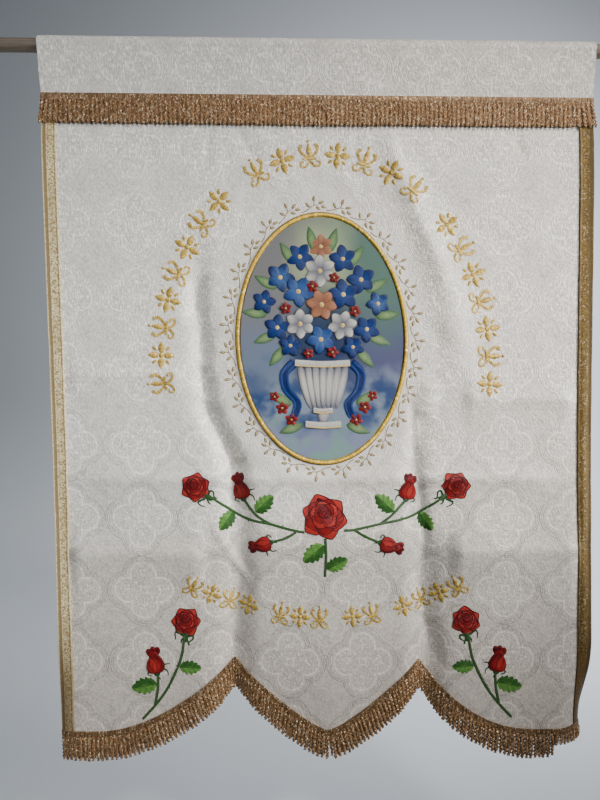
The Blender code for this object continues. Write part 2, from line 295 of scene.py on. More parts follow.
def hemLine(across):
    # down to the top of the hem fringe's header
    across = np.asarray(across, dtype=float)
    table = np.array(scallops)
    pick = 1 * (across >= scallops[0][1]) + (across >= 0) + (across > scallops[3][1])
    paintedShadeBelow, cusp, lowDown, cuspDown, power = table[pick].T
    climb = np.maximum((across - paintedShadeBelow) / (cusp - paintedShadeBelow), 0.0)
    return lowDown - (lowDown - cuspDown) * climb ** power


def hang(mesh):
    # keeps each point's place in the pattern for the weave, then hangs it
    flat = np.empty(len(mesh.vertices) * 3, dtype=np.float32)
    mesh.vertices.foreach_get("co", flat)
    flat = flat.reshape(-1, 3)
    kept = mesh.attributes.new("pattern", "FLOAT_VECTOR", "POINT")
    kept.data.foreach_set("vector", np.stack([flat[:, 0], -flat[:, 2], -flat[:, 1]], axis=1).ravel())
    mesh.vertices.foreach_set("co", hungPoints(flat).astype(np.float32).ravel())
    mesh.update()


def finishPiece(name, bm, materials, standsFor, hung=True, smoothAngle=50, fixNormals=True):
    if fixNormals:
        bmesh.ops.recalc_face_normals(bm, faces=bm.faces[:])
    mesh = bpy.data.meshes.new(name)
    bm.to_mesh(mesh)
    bm.free()
    for material in materials:
        mesh.materials.append(material)
    if hung:
        hang(mesh)
    mesh.shade_smooth()
    mesh.set_sharp_from_angle(angle=math.radians(smoothAngle))
    piece = link(name, mesh)
    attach(piece, "root")
    if standsFor:
        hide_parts(standsFor)
    print(name, "has", sum(len(face.vertices) - 2 for face in mesh.polygons), "triangles")
    return piece


def finishStitches(name, bm, thread):
    finishPiece(name, bm, [thread], None, smoothAngle=70, fixNormals=False)


# Camera, light and stage

def newMaterial(name, **constants):
    material = bpy.data.materials.new(name)
    material.use_nodes = True
    shader = material.node_tree.nodes["Principled BSDF"]
    for key, value in constants.items():
        shader.inputs[key.replace("_", " ")].default_value = value
    return material, material.node_tree, shader


cameraFit = {
    "place": (-0.0392, -0.9103, -0.5024),
    "yaw": -0.835,
    "pitch": -2.419,
    "roll": -0.171,
    "focalPixels": 578.0,
    "imageWidth": 600.0,
    "sensor": 36.0,
}


def makeCamera():
    turn = Matrix.Rotation(math.radians(cameraFit["yaw"]), 4, "Z")
    turn @= Matrix.Rotation(math.radians(cameraFit["pitch"]), 4, "X")
    turn @= Matrix.Rotation(math.radians(cameraFit["roll"]), 4, "Y")
    turn @= Matrix.Rotation(math.radians(90), 4, "X")
    data = bpy.data.cameras.new("camera")
    data.sensor_fit = "HORIZONTAL"
    data.sensor_width = cameraFit["sensor"]
    data.lens = cameraFit["sensor"] * cameraFit["focalPixels"] / cameraFit["imageWidth"]
    camera = link("camera", data)
    camera.matrix_world = Matrix.Translation(cameraFit["place"]) @ turn
    bpy.context.scene.camera = camera


# name: place, where it points, width, height, spread, watts, colour
lamps = {
    "keyLamp": ((1.30, -1.80, 1.30), (-0.04, 0.0, -0.545), 0.5, 0.4, 40, 3.9, (1.0, 0.972, 0.935)),
    "sideLamp": ((2.10, -0.95, -0.16), (-0.06, 0.0, -0.53), 0.45, 0.4, 36, 4.7, (1.0, 0.972, 0.935)),
    "leftLamp": ((-1.45, -1.75, 0.0), (-0.42, 0.0, -0.46), 0.35, 1.5, 34, 1.2, (0.97, 0.98, 1.0)),
    "glareLamp": ((1.06, -1.60, 0.47), (0.34, 0.0, -0.20), 0.25, 0.18, 30, 0.10, (1.0, 0.97, 0.95)),
    "backLamp": ((-0.60, 1.90, 0.80), (0.0, 0.0, -0.60), 1.6, 1.4, 180, 13.0, (1.0, 1.0, 1.0)),
    "wallLamp": ((1.50, 0.80, 0.20), (0.50, 2.70, -0.60), 1.2, 1.2, 175, 100.0, (1.0, 0.965, 0.975)),
}
air = {"color": (0.86, 0.88, 0.90), "strength": 0.10}
stage = {
    "floor": -1.42,
    "front": -5.0,
    "back": 2.7,
    "bend": 1.2,
    "top": 3.2,
    "halfWidth": 5.0,
    "color": (0.50, 0.55, 0.59),
}


def makeLamps():
    for name, (place, aim, width, height, spread, watts, color) in lamps.items():
        data = bpy.data.lights.new(name, "AREA")
        data.shape = "RECTANGLE"
        data.size, data.size_y = width, height
        data.spread = math.radians(spread)
        data.energy = watts
        data.color = color
        lamp = link(name, data)
        lamp.location = place
        lamp.rotation_euler = (Vector(aim) - Vector(place)).to_track_quat("-Z", "Y").to_euler()
    world = bpy.data.worlds.new("air")
    world.use_nodes = True
    background = world.node_tree.nodes["Background"].inputs
    background["Color"].default_value = (*air["color"], 1)
    background["Strength"].default_value = air["strength"]
    bpy.context.scene.world = world


def makeStage():
    bm = bmesh.new()
    start = bm.verts.new((-stage["halfWidth"], stage["front"], stage["floor"]))
    rim = bmesh.ops.extrude_vert_indiv(bm, verts=[start])["verts"]
    bmesh.ops.translate(bm, verts=rim, vec=(0, stage["back"] - stage["bend"] - stage["front"], 0))
    bmesh.ops.spin(bm, geom=rim, cent=(0, stage["back"] - stage["bend"],
                                       stage["floor"] + stage["bend"]),
                   axis=(1, 0, 0), angle=math.radians(90), steps=16)
    last = max(bm.verts, key=lambda vert: vert.co.z)
    rim = bmesh.ops.extrude_vert_indiv(bm, verts=[last])["verts"]
    bmesh.ops.translate(bm, verts=rim, vec=(0, 0, stage["top"] - last.co.z))
    side = bmesh.ops.extrude_edge_only(bm, edges=bm.edges[:])["geom"]
    side = [item for item in side if isinstance(item, bmesh.types.BMVert)]
    bmesh.ops.translate(bm, verts=side, vec=(2 * stage["halfWidth"], 0, 0))
    mesh = bpy.data.meshes.new("paleFloor")
    bm.to_mesh(mesh)
    bm.free()
    mesh.shade_smooth()
    mesh.materials.append(newMaterial("paleFloor", Base_Color=(*stage["color"], 1), Roughness=0.9)[0])
    link("paleFloor", mesh)


makeCamera()
makeLamps()
makeStage()
print("camera, lamps and floor are set")


# Node helpers

class Wire:
    # an output in a node tree; arithmetic on it adds math nodes there
    def __init__(self, socket):
        self.socket, self.tree = socket, socket.id_data

    def __abs__(self):
        return calc("ABSOLUTE", self)

    def __add__(self, other):
        return calc("ADD", self, other)

    def __sub__(self, other):
        return calc("SUBTRACT", self, other)

    def __rsub__(self, other):
        return calc("SUBTRACT", other, self)

    def __mul__(self, other):
        return calc("MULTIPLY", self, other)

    def __truediv__(self, other):
        return calc("DIVIDE", self, other)

    def __rtruediv__(self, other):
        return calc("DIVIDE", other, self)


class Outputs:
    def __init__(self, node):
        self.sockets = node.outputs

    def __getitem__(self, key):
        return Wire(self.sockets[key])


def plug(socket, value):
    if isinstance(value, Wire):
        value.tree.links.new(value.socket, socket)
    elif isinstance(value, tuple) and socket.type == "RGBA":
        socket.default_value = (*value, 1)
    elif value is not None:
        socket.default_value = value


def addNode(kind, inputs, tree=None, **settings):
    # the node goes into the tree of its inputs, unless another is given
    tree = tree or next(value.tree for value in inputs.values() if isinstance(value, Wire))
    node = tree.nodes.new(kind)
    for key, value in settings.items():
        setattr(node, key, value)
    for key, value in inputs.items():
        plug(node.inputs[key], value)
    return Outputs(node)


def calc(operation, *values):
    return addNode("ShaderNodeMath", dict(enumerate(values)), operation=operation)[0]


def step01(value, paintedShadeBelow, high, start=0.0, stop=1.0):
    # an even S from start to stop as the value goes from low to high
    inputs = {"Value": value, "From Min": paintedShadeBelow, "From Max": high, "To Min": start, "To Max": stop}
    return addNode("ShaderNodeMapRange", inputs, interpolation_type="SMOOTHSTEP")[0]


def mixColors(factor, first, second, blend="MIX"):
    return addNode("ShaderNodeMix", {0: factor, 6: first, 7: second}, data_type="RGBA",
                   blend_type=blend)[2]


def noiseOf(vector, scale, detail=2.0, roughness=0.5):
    return addNode("ShaderNodeTexNoise", {"Vector": vector, "Scale": scale, "Detail": detail,
                                          "Roughness": roughness})[0]


def attributeOf(tree, name, output="Vector"):
    return addNode("ShaderNodeAttribute", {}, tree, attribute_name=name)[output]


def parts(vector):
    return addNode("ShaderNodeSeparateXYZ", {0: vector})


def stretched(vector, scale):
    return addNode("ShaderNodeVectorMath", {0: vector, 1: scale}, operation="MULTIPLY")[0]


def grey(tone):
    return addNode("ShaderNodeCombineXYZ", {0: tone, 1: tone, 2: tone})[0]


def newGroup(name, vector, numbers, results):
    # a node group with one vector input, number inputs and number results
    tree = bpy.data.node_groups.new(name, "ShaderNodeTree")
    tree.interface.new_socket(name=vector, in_out="INPUT", socket_type="NodeSocketVector")
    for labels, way in ((numbers, "INPUT"), (results, "OUTPUT")):
        for label in labels:
            tree.interface.new_socket(name=label, in_out=way, socket_type="NodeSocketFloat")
    return tree, Outputs(tree.nodes.new("NodeGroupInput")), tree.nodes.new("NodeGroupOutput").inputs


def dress(shader, color, roughness, height):
    # the shader's changing inputs; height is in metres
    plug(shader.inputs["Base Color"], color)
    plug(shader.inputs["Roughness"], roughness)
    plug(shader.inputs["Normal"], addNode("ShaderNodeBump",
                                          {"Height": height, "Distance": 1.0, "Strength": 1.0})[0])


# Damask: quatrefoils on a square lattice, with florets in their lobes and in the gaps

damask = {
    "pitch": 0.1145,
    "across": 0.056,
    "down": 0.969,
    "lobe": 0.025,
    "rings": ((0.0318, 0.0011), (0.0288, 0.0007), (0.0260, 0.0007)),
    "innerRing": (0.0200, 0.0020),
    "thread": 0.00055,
    "heights": {"Line": 0.00034, "Bright": 0.00018, "Stroke": 0.00012, "Dull": -0.00012,
                "Thread": 0.00002, "Cloud": 0.0010},
}


def band(value, middle, width):
    return step01(abs(value - middle), width * 0.35, width, 1.0, 0.0)


def largest(first, *others):
    for other in others:
        first = calc("MAXIMUM", first, other)
    return first


def distance2(first, second):
    return calc("SQRT", first * first + second * second)


def makeDamaskGroup():
    results = ("Line", "Bright", "Dull", "Thread", "Cloud", "Stroke")
    tree, given, wanted = newGroup("damaskFigure", "Vector", (), results)
    vector = given["Vector"]
    place = parts(vector)
    side = damask["pitch"] / 2
    folded = []
    for axis, start in ((0, damask["across"]), (1, damask["down"])):
        wrapped = calc("WRAP", place[axis] - start, side, -side)
        folded.append(abs(wrapped))
    big = calc("MAXIMUM", *folded)
    small = calc("MINIMUM", *folded)
    outward = big - damask["lobe"]
    radius = distance2(outward, small)
    rings = largest(*(band(radius, *ring) for ring in damask["rings"]))
    inner = band(radius, *damask["innerRing"])
    petals = calc("COSINE", calc("ARCTAN2", small, outward) * 8.0)
    edge = petals * 0.0022 + 0.0112
    fromEdge = radius - edge
    floret = step01(fromEdge, -0.0009, 0.0007, 1.0, 0.0)
    heart = step01(radius, 0.0026, 0.0038, 1.0, 0.0)
    pinch = distance2(big - 0.0125, small - 0.0125)
    pinch = step01(pinch, 0.0018, 0.0030, 1.0, 0.0)
    gapX = side - folded[0]
    gapY = side - folded[1]
    gapBig = calc("MAXIMUM", gapX, gapY)
    gapSmall = calc("MINIMUM", gapX, gapY)
    away = abs(gapBig - 0.0205) + gapSmall
    outside = step01(radius, 0.0330, 0.0340)
    leaf = step01(away, 0.0066, 0.0076, 1.0, 0.0) * outside
    leafEdge = band(away, 0.0085, 0.0009) * outside
    square = band(gapBig, 0.0055, 0.0009) * outside
    wearAndPaintedShade = step01(noiseOf(vector, 190.0, 3.0, 0.7), 0.32, 0.62, 0.45, 1.0)
    line = largest(rings, largest(leafEdge, square) * 0.3) * wearAndPaintedShade
    # painted glints: small bright specks in the florets
    speck = step01(noiseOf(vector, 520.0, 1.0), 0.50, 0.66)
    bright = largest(inner, pinch, heart) * wearAndPaintedShade
    bright = largest(bright, floret * speck)
    dull = largest(floret * (1.0 - speck), leaf)
    wale = calc("SINE", place[0] * 2 * math.pi / damask["thread"])
    pick = calc("SINE", place[1] * 2 * math.pi / damask["thread"])
    upright = stretched(vector, (520.0, 125.0, 1.0))
    stroke = step01(noiseOf(upright, 1.0, 1.5, 0.5), 0.53, 0.62)
    inLobe = step01(radius, 0.0275, 0.0330, 1.0, 0.45)
    plug(wanted["Stroke"], stroke * inLobe)
    plug(wanted["Line"], line)
    plug(wanted["Bright"], bright)
    plug(wanted["Dull"], dull)
    plug(wanted["Thread"], wale * pick)
    plug(wanted["Cloud"], noiseOf(vector, 42.0, 4.0, 0.62))
    return tree


def makeDamask():
    material, tree, shader = newMaterial("damaskCloth", Sheen_Weight=0.12, Sheen_Roughness=0.4)
    vector = attributeOf(tree, "pattern")
    figure = addNode("ShaderNodeGroup", {"Vector": vector}, node_tree=makeDamaskGroup())
    place = parts(vector)
    paintedShadeBelow = step01(place[1], 0.42, 0.72)              # painted sheen: lines turn from bright to dull down the cloth, lit above and in painted shade below
    x = place[0] / medallion["halfWidth"]
    y = (place[1] - medallion["down"]) / medallion["halfHeight"]
    near = step01(distance2(x, y), 1.14, 1.34, 1.0, 0.0)
    plainer = near * -0.65 + 1.0   # little of the figure shows round the oval
    lineTone = paintedShadeBelow * -0.58 + 0.24
    brightTone = paintedShadeBelow * 0.06 + 0.28
    strokeTone = paintedShadeBelow * -0.22 + 0.46
    tone = figure["Line"] * lineTone + figure["Bright"] * brightTone
    tone = tone + figure["Stroke"] * strokeTone + figure["Dull"] * -0.06
    mottle = step01(noiseOf(vector, 240.0, 2.0, 0.6), 0.34, 0.66) - 0.5
    tone = tone + mottle * 0.20 + (figure["Cloud"] - 0.5) * 0.30 + figure["Thread"] * 0.02
    tone = tone * plainer + near * 0.03 + 0.875
    grain = grey(tone)
    # painted light: the cloth warms towards the right, where the lamps come from, and painted shade darkens
    # and warms it towards the bottom
    paintedLightTint = mixColors(step01(place[0], -0.40, 0.42), (0.690, 0.672, 0.624), (0.705, 0.662, 0.612))
    paintedLightTint = mixColors(step01(place[1], 0.62, 1.00), paintedLightTint, (0.560, 0.515, 0.460))
    color = mixColors(1.0, paintedLightTint, grain, "MULTIPLY")
    rough = figure["Line"] * -0.08 + (figure["Bright"] + figure["Stroke"]) * -0.12 + 0.43
    height = mottle * 0.00018
    for part, rise in damask["heights"].items():
        height = figure[part] * rise + height
    dress(shader, color, rough, height)
    return material


damaskCloth = makeDamask()


# Threads: stitches side by side, and the sparkle of metal-wrapped thread

def makeThreadGroup():
    # Lay is (along the threads, across them, a number for the patch), all in metres
    tree, given, wanted = newGroup("threads", "Lay", ("Width", "Sparkle Size"),
                                   ("RoundAndGapShade", "Shade", "Sparkle"))
    lay = parts(given["Lay"])
    turns = lay[1] / given["Width"]
    bow = abs(calc("SINE", turns * math.pi))
    number = calc("FLOOR", turns)
    odd = addNode("ShaderNodeCombineXYZ", {0: number, 1: lay[2]})[0]
    shade = addNode("ShaderNodeTexWhiteNoise", {"Vector": odd}, noise_dimensions="2D")[0]
    scale = 1.0 / given["Sparkle Size"]
    cells = addNode("ShaderNodeTexVoronoi", {"Vector": given["Lay"], "Scale": scale}, feature="F1")
    chance = addNode("ShaderNodeSeparateColor", {0: cells["Color"]})[0]
    lit = step01(chance, 0.66, 0.92)
    lit = lit * step01(cells["Distance"], 0.25, 0.60, 1.0, 0.0)
    # Round is each thread's rounding: it raises the relief, and the materials paint shade into the low gaps
    # between threads; Sparkle marks where they paint glints
    plug(wanted["RoundAndGapShade"], bow)
    plug(wanted["Shade"], shade)
    plug(wanted["Sparkle"], lit)
    return tree


threads = makeThreadGroup()


metals = {
    # dark colour, also painted as shade between threads, middle colour, light colour of the painted glints,
    # a thread's width, the sparkle's size and strength, metallic
    "copperStrand": ((0.080, 0.038, 0.016), (0.39, 0.220, 0.100), (1.0, 0.84, 0.58), 0.0011, 0.0015,
                     1.0, 0.35),
    "copperHeader": ((0.096, 0.050, 0.022), (0.27, 0.160, 0.078), (0.92, 0.74, 0.50), 0.0012, 0.0016,
                     0.7, 0.35),
    "goldStitch": ((0.25, 0.155, 0.028), (0.72, 0.50, 0.115), (1.0, 0.90, 0.46), 0.0005, 0.0024, 0.50,
                   0.30),
    "goldBorder": ((0.33, 0.200, 0.020), (0.72, 0.485, 0.070), (1.0, 0.84, 0.34), 0.0006, 0.0036, 0.7,
                   0.35),
    "goldBorderEdge": ((0.075, 0.045, 0.010), (0.16, 0.100, 0.022), (0.45, 0.32, 0.10), 0.0006, 0.0036,
                       0.3, 0.35),
}
metalRelief = 0.00012


def useThreads(lay, width, sparkle):
    return addNode("ShaderNodeGroup", {"Lay": lay, "Width": width, "Sparkle Size": sparkle},
                   node_tree=threads)


def makeMetalThread(name, dark, mid, light, width, sparkle, glint, metallic):
    material, tree, shader = newMaterial(name, Metallic=metallic, Specular_IOR_Level=0.25)
    thread = useThreads(attributeOf(tree, "lay"), width, sparkle)
    body = mixColors(step01(thread["Shade"], 0.0, 1.0), dark, mid)
    # painted shade: the dark colour fills the gaps between threads, and the sparkle paints glints in the
    # light colour
    body = mixColors(step01(thread["RoundAndGapShade"], 0.0, 0.9, 0.55, 0.0), body, dark)
    lit = thread["Sparkle"] * glint
    dress(shader, mixColors(lit, body, light), lit * -0.16 + 0.44, thread["RoundAndGapShade"] * metalRelief)
    return material


metal = {name: makeMetalThread(name, *values) for name, values in metals.items()}


def makeBraidGold():
    # stripes along the braid: pale edges, a dull plain one, and a glittering herringbone with painted
    # glints; the left braid is painted lit, the right one in painted shade, and both take painted shade at
    # their lower ends
    material, tree, shader = newMaterial("goldBraid", Metallic=0.45, Specular_IOR_Level=0.25)
    lay = attributeOf(tree, "lay")
    thread = useThreads(lay, 0.0026, 0.0026)
    share = parts(lay)[0] / braid["width"]
    pattern = parts(attributeOf(tree, "pattern"))
    # painted light: through this mask the left braid is coloured as lit by the lamps and the right one as in
    # shade
    litLeftBraid = calc("LESS_THAN", pattern[0], 0.0)
    fleck = step01(noiseOf(stretched(lay, (300.0, 420.0, 1.0)), 1.0, 1.5, 0.6), 0.40, 0.56)
    along = litLeftBraid * 3.0 + pattern[1]
    along = addNode("ShaderNodeCombineXYZ", {0: along})[0]
    glow = step01(noiseOf(along, 9.0, 1.5, 0.5), 0.36, 0.62)   # some lengths catch more light
    dark = mixColors(litLeftBraid, (0.068, 0.042, 0.012), (0.420, 0.300, 0.125))
    pale = mixColors(litLeftBraid, (0.185, 0.118, 0.029), (1.0, 0.860, 0.500))
    body = mixColors(fleck * (glow * 0.35 + 0.65), dark, pale)
    # painted shade in the gaps between threads
    body = mixColors(step01(thread["RoundAndGapShade"], 0.0, 0.8, 0.5, 0.0), body, (0.110, 0.070, 0.024))
    stripe = mixColors(litLeftBraid, (0.085, 0.055, 0.020), (0.330, 0.240, 0.115))
    inStripe = step01(share, 0.06, 0.10) * step01(share, 0.27, 0.34, 1.0, 0.0)
    color = mixColors(inStripe, body, stripe)
    edges = largest(step01(share, 0.05, 0.08, 1.0, 0.0), step01(share, 0.90, 0.94),
                    band(share, 0.345, 0.030))
    edgeColor = mixColors(litLeftBraid, (0.125, 0.080, 0.029), (1.0, 0.830, 0.490))
    edgeTone = fleck * 0.45 + 0.55
    color = mixColors(edges * edgeTone, color, edgeColor)
    color = mixColors(band(share, 0.86, 0.045) * 0.8, color, (0.13, 0.085, 0.030))
    # painted glints, stronger on the lit left braid
    glitter = thread["Sparkle"] * (1.0 - inStripe * 0.85)
    glitter = glitter * (litLeftBraid * 0.74 + 0.26)
    color = mixColors(glitter, color, (1.0, 0.95, 0.72))
    # painted shade: both braids darken to brown towards their curled lower ends, which turn away from the
    # light
    wearAndPaintedShade = step01(pattern[1], 0.88, 1.02)
    color = mixColors(wearAndPaintedShade * 0.60, color, (0.145, 0.078, 0.030))
    rough = glitter * -0.16 + 0.46
    dress(shader, color, rough, thread["RoundAndGapShade"] * 0.00035)
    return material


def makeSilkThread():
    # rayon embroidery thread, dyed as each patch says; some patches carry painted shade in that colour
    material, tree, shader = newMaterial("silkThread", Specular_IOR_Level=0.18)
    thread = useThreads(attributeOf(tree, "lay"), 0.0005, 0.003)
    dyeAndPaintedShade = attributeOf(tree, "dyeAndPaintedShade", "Color")
    tone = thread["Shade"] * 0.34 + 0.80
    # painted shade in the gaps between threads
    tone = thread["RoundAndGapShade"] * 0.16 + tone - 0.10
    grain = grey(tone)
    color = mixColors(1.0, dyeAndPaintedShade, grain, "MULTIPLY")
    rough = thread["Shade"] * 0.15 + 0.36
    dress(shader, color, rough, thread["RoundAndGapShade"] * 0.00010)
    return material


silkThread = makeSilkThread()
print("cloth and thread materials are made")


# The panel, its heading and the rod

def clothSlab(columns, rows, rowDown, back, front):
    # a closed slab in pattern space, its front and back a grid of faces
    bm = bmesh.new()
    bmesh.ops.create_grid(bm, x_segments=columns, y_segments=rows, size=0.5)
    for vert in bm.verts:
        across = vert.co.x * 2 * half
        row = round((0.5 - vert.co.y) * rows)
        vert.co = (across, -back, -rowDown(across, row))
    raised = bmesh.ops.extrude_face_region(bm, geom=bm.faces[:])["geom"]
    raised = [item for item in raised if isinstance(item, bmesh.types.BMVert)]
    bmesh.ops.translate(bm, verts=raised, vec=(0, back - front, 0))
    return bm


panelRows = {"braidTop": 0.0935, "lowest": 1.082, "bendPower": 3.5, "header": 0.010}


def rowOnPanel(across, row):
    # row 0 is the hidden top edge, row 1 the braids' top, and the last rows bend to the hem
    if row == 0:
        return cloth["top"]
    hem = float(hemLine(across)) + panelRows["header"]
    lowest = panelRows["lowest"] + panelRows["header"]
    share = (row - 1) / (cloth["rows"] - 1)
    return panelRows["braidTop"] + (lowest - panelRows["braidTop"]) * share \
        - (lowest - hem) * share ** panelRows["bendPower"]


def makePanel():
    bm = clothSlab(cloth["columns"], cloth["rows"], rowOnPanel, -cloth["thick"] / 2, cloth["thick"] / 2)
    return finishPiece("panelCloth", bm, [damaskCloth], "panel", smoothAngle=60)


rod = {"radius": 0.010, "length": 1.050, "sides": 64, "chamfer": 0.001}
heading = {
    "thick": 0.0014,
    "clearance": 0.002,
    "seam": 0.083,
    "edge": 0.092,
    "legRows": 22,
    "arcRows": 16,
    "wave": 0.0012,          # the front leg's soft swells, about this far apart
    "waveSize": 0.055,
    "waveReach": 0.07,       # they lie within this much of the leg
    "patternShift": 0.006,
}


def headingProfile():
    # the heading's outer line in the YZ plane, from the front leg's edge over the rod to the back
    seam = cloth["thick"] / 2 + cloth["gap"] + heading["thick"]
    radius = rod["radius"] + heading["clearance"] + heading["thick"]
    top = cloth["foldTop"]
    line = [(-seam, top - heading["edge"])]
    for i in range(heading["legRows"] + 1):
        share = i / heading["legRows"]
        line.append((-seam - (radius - seam) * share, (top - heading["seam"]) * (1 - share)))
    for i in range(1, heading["arcRows"]):
        turn = math.pi * i / heading["arcRows"]
        line.append((-radius * math.cos(turn), radius * math.sin(turn)))
    backLeg = [(-y, z) for y, z in line[:heading["legRows"] + 2]]
    return line + backLeg[::-1]


def makeHeading():
    line = headingProfile()
    steps = [math.dist(a, b) for a, b in zip(line, line[1:])]
    run = np.concatenate([[0], np.cumsum(steps)])
    rows = len(line) - 1
    bm = bmesh.new()
    bmesh.ops.create_grid(bm, x_segments=cloth["columns"], y_segments=rows, size=0.5)
    weave = bm.verts.layers.float_vector.new("pattern")
    for vert in bm.verts:
        across, row = vert.co.x * 2 * half, round((vert.co.y + 0.5) * rows)
        y, z = line[row]
        slack = math.sin(math.pi * min(run[row] / heading["waveReach"], 1.0)) if y < 0 else 0.0
        noise = cloudNoise(np.array([across]), np.array([z]), heading["waveSize"])
        swell = heading["wave"] * float(noise[0]) * slack
        vert.co = (across + cloth["lean"] * (cloth["foldTop"] - z), y - swell, z)
        vert[weave] = (across, heading["edge"] - run[row] + heading["patternShift"], 0)
    bmesh.ops.recalc_face_normals(bm, faces=bm.faces[:])
    bmesh.ops.solidify(bm, geom=bm.faces[:], thickness=heading["thick"])
    return finishPiece("headingCloth", bm, [damaskCloth], "heading_sleeve", False, 60)


panelCloth = makePanel()
headingCloth = makeHeading()

def makeWood():
    material, tree, shader = newMaterial("rodWood", Specular_IOR_Level=0.4)
    place = addNode("ShaderNodeTexCoord", {}, tree)["Object"]
    long = stretched(place, (4.0, 60.0, 60.0))
    rings = noiseOf(long, 3.0, 6.0, 0.65)
    pores = noiseOf(stretched(place, (30.0, 900.0, 900.0)), 1.0, 2.0)
    color = mixColors(step01(rings, 0.3, 0.7), (0.125, 0.098, 0.075), (0.27, 0.215, 0.165))
    color = mixColors(step01(pores, 0.55, 0.75, 0.0, 0.6), color, (0.07, 0.05, 0.04))
    rough = rings * 0.25 + 0.42
    height = pores * -0.0001 + rings * 0.0002
    dress(shader, color, rough, height)
    return material


def makeRod():
    bm = bmesh.new()
    bmesh.ops.create_cone(bm, cap_ends=True, segments=rod["sides"], radius1=rod["radius"],
                          radius2=rod["radius"], depth=rod["length"])
    rims = [edge for edge in bm.edges if abs(edge.verts[0].co.z - edge.verts[1].co.z) < 1e-6]
    bmesh.ops.bevel(bm, geom=rims, offset=rod["chamfer"], affect="EDGES", segments=3, profile=0.5,
                    material=-1)
    bmesh.ops.rotate(bm, verts=bm.verts[:], matrix=Matrix.Rotation(math.radians(90), 3, "Y"))
    finishPiece("roundRod", bm, [makeWood()], "rod", hung=False, smoothAngle=40)


makeRod()
print("panel, heading and rod are made")


# Small shapes that every trim and stitch is made from

def meshOf(bm):
    mesh = bpy.data.meshes.new("template")
    bm.to_mesh(mesh)
    bm.free()
    return mesh


@lru_cache(maxsize=None)
def unitTube(sides, steps):
    # a closed tube along Z from 0 to 1, radius 1
    bm = bmesh.new()
    bmesh.ops.create_cone(bm, cap_ends=True, segments=sides, radius1=1, radius2=1, depth=1)
    long = [edge for edge in bm.edges if abs(edge.verts[0].co.z - edge.verts[1].co.z) > 0.5]
    bmesh.ops.subdivide_edges(bm, edges=long, cuts=steps - 1, use_grid_fill=True)
    bmesh.ops.translate(bm, verts=bm.verts[:], vec=(0, 0, 0.5))
    bmesh.ops.recalc_face_normals(bm, faces=bm.faces[:])
    return meshOf(bm)


@lru_cache(maxsize=None)
def unitPad(sides, rings):
    # a ball of radius 1 with its poles on Z
    bm = bmesh.new()
    bmesh.ops.create_uvsphere(bm, u_segments=sides, v_segments=rings, radius=1)
    return meshOf(bm)


def newStitchwork():
    bm = bmesh.new()
    bm.verts.layers.float_vector.new("lay")
    bm.verts.layers.float_color.new("dyeAndPaintedShade")
    return bm


def addCopy(bm, template):
    before = len(bm.verts)
    bm.from_mesh(template)
    bm.verts.ensure_lookup_table()
    return bm.verts[before:]


def addStrip(bm, strip, back):
    # closes a grid with a flat back and copies it into the stitchwork
    for item in bmesh.ops.extrude_face_region(strip, geom=strip.faces[:])["geom"]:
        if isinstance(item, bmesh.types.BMVert):
            item.co.y = -back
    return addCopy(bm, meshOf(strip))


def curvePoint(points, t):
    # a point on the smooth curve through a few points, with t from 0 to 1
    last = len(points) - 1
    i = min(int(t * last), last - 1)
    t = t * last - i
    a, b, c, d = (Vector(points[min(max(k, 0), last)]) for k in (i - 1, i, i + 1, i + 2))
    return b + ((c - a) / 2) * t + (3 * (c - b) - (c - a) - (d - b) / 2) * t ** 2 \
        + (2 * (b - c) + (c - a) / 2 + (d - b) / 2) * t ** 3


def addLine(bm, points, width, rise, floor, color, sides, steps, taper=(1, 1), seed=0.0):
    # a flattened stitched line on the cloth through (across, down) points
    lay, dyeAndPaintedShade = bm.verts.layers.float_vector["lay"], bm.verts.layers.float_color["dyeAndPaintedShade"]
    length = sum((Vector(a) - Vector(b)).length for a, b in zip(points, points[1:]))
    for vert in addCopy(bm, unitTube(sides, steps)):
        t = min(max(vert.co.z, 0.0), 1.0)
        here = curvePoint(points, t)
        ahead = curvePoint(points, min(t + 0.02, 1.0)) - curvePoint(points, max(t - 0.02, 0.0))
        ahead.normalize()
        size = taper[0] + (taper[1] - taper[0]) * t
        sideways = vert.co.x * width / 2 * size
        lift = floor + rise * size * (vert.co.y + 1) / 2
        vert.co = (here.x - ahead.y * sideways, -lift, -(here.y + ahead.x * sideways))
        vert[lay] = (sideways, t * length, seed)
        vert[dyeAndPaintedShade] = (*color, 1)


def placedAt(place, turn, size, x, y):
    # a point of a motif's own frame, as (across, down) on the cloth
    cos, sin = math.cos(turn), math.sin(turn)
    return place[0] + size * (x * cos - y * sin), place[1] - size * (x * sin + y * cos)


def addPatch(bm, outline, place, turn, floor, rise, shade, sides, rings, grain=0.0, seed=0.0):
    # a domed satin-stitch patch; outline gives its edge in its own frame, shade its colour there
    lay, dyeAndPaintedShade = bm.verts.layers.float_vector["lay"], bm.verts.layers.float_color["dyeAndPaintedShade"]
    cos, sin = math.cos(turn), math.sin(turn)
    for vert in addCopy(bm, unitPad(sides, rings)):
        reach = math.hypot(vert.co.x, vert.co.y)
        edge = outline(math.atan2(vert.co.y, vert.co.x))
        x, y = edge[0] * reach, edge[1] * reach
        lift = floor + rise * max(vert.co.z, 0.0) ** 0.7
        vert[dyeAndPaintedShade] = (*shade(x, y, reach), 1)
        vert[lay] = (x * math.cos(grain) + y * math.sin(grain),
                     y * math.cos(grain) - x * math.sin(grain), seed)
        vert.co = (place[0] + x * cos - y * sin, -lift, -place[1] + x * sin + y * cos)


def ovalEdge(wide, tall, point=0.0):
    # an oval's edge, drawn to a point at its top
    def edge(angle):
        up = max(math.sin(angle), 0.0)
        return (wide * math.cos(angle) * (1 - point * up ** 2),
                tall * math.sin(angle) * (1 + 0.35 * point * up ** 6))
    return edge


def plain(color):
    return lambda x, y, reach: color


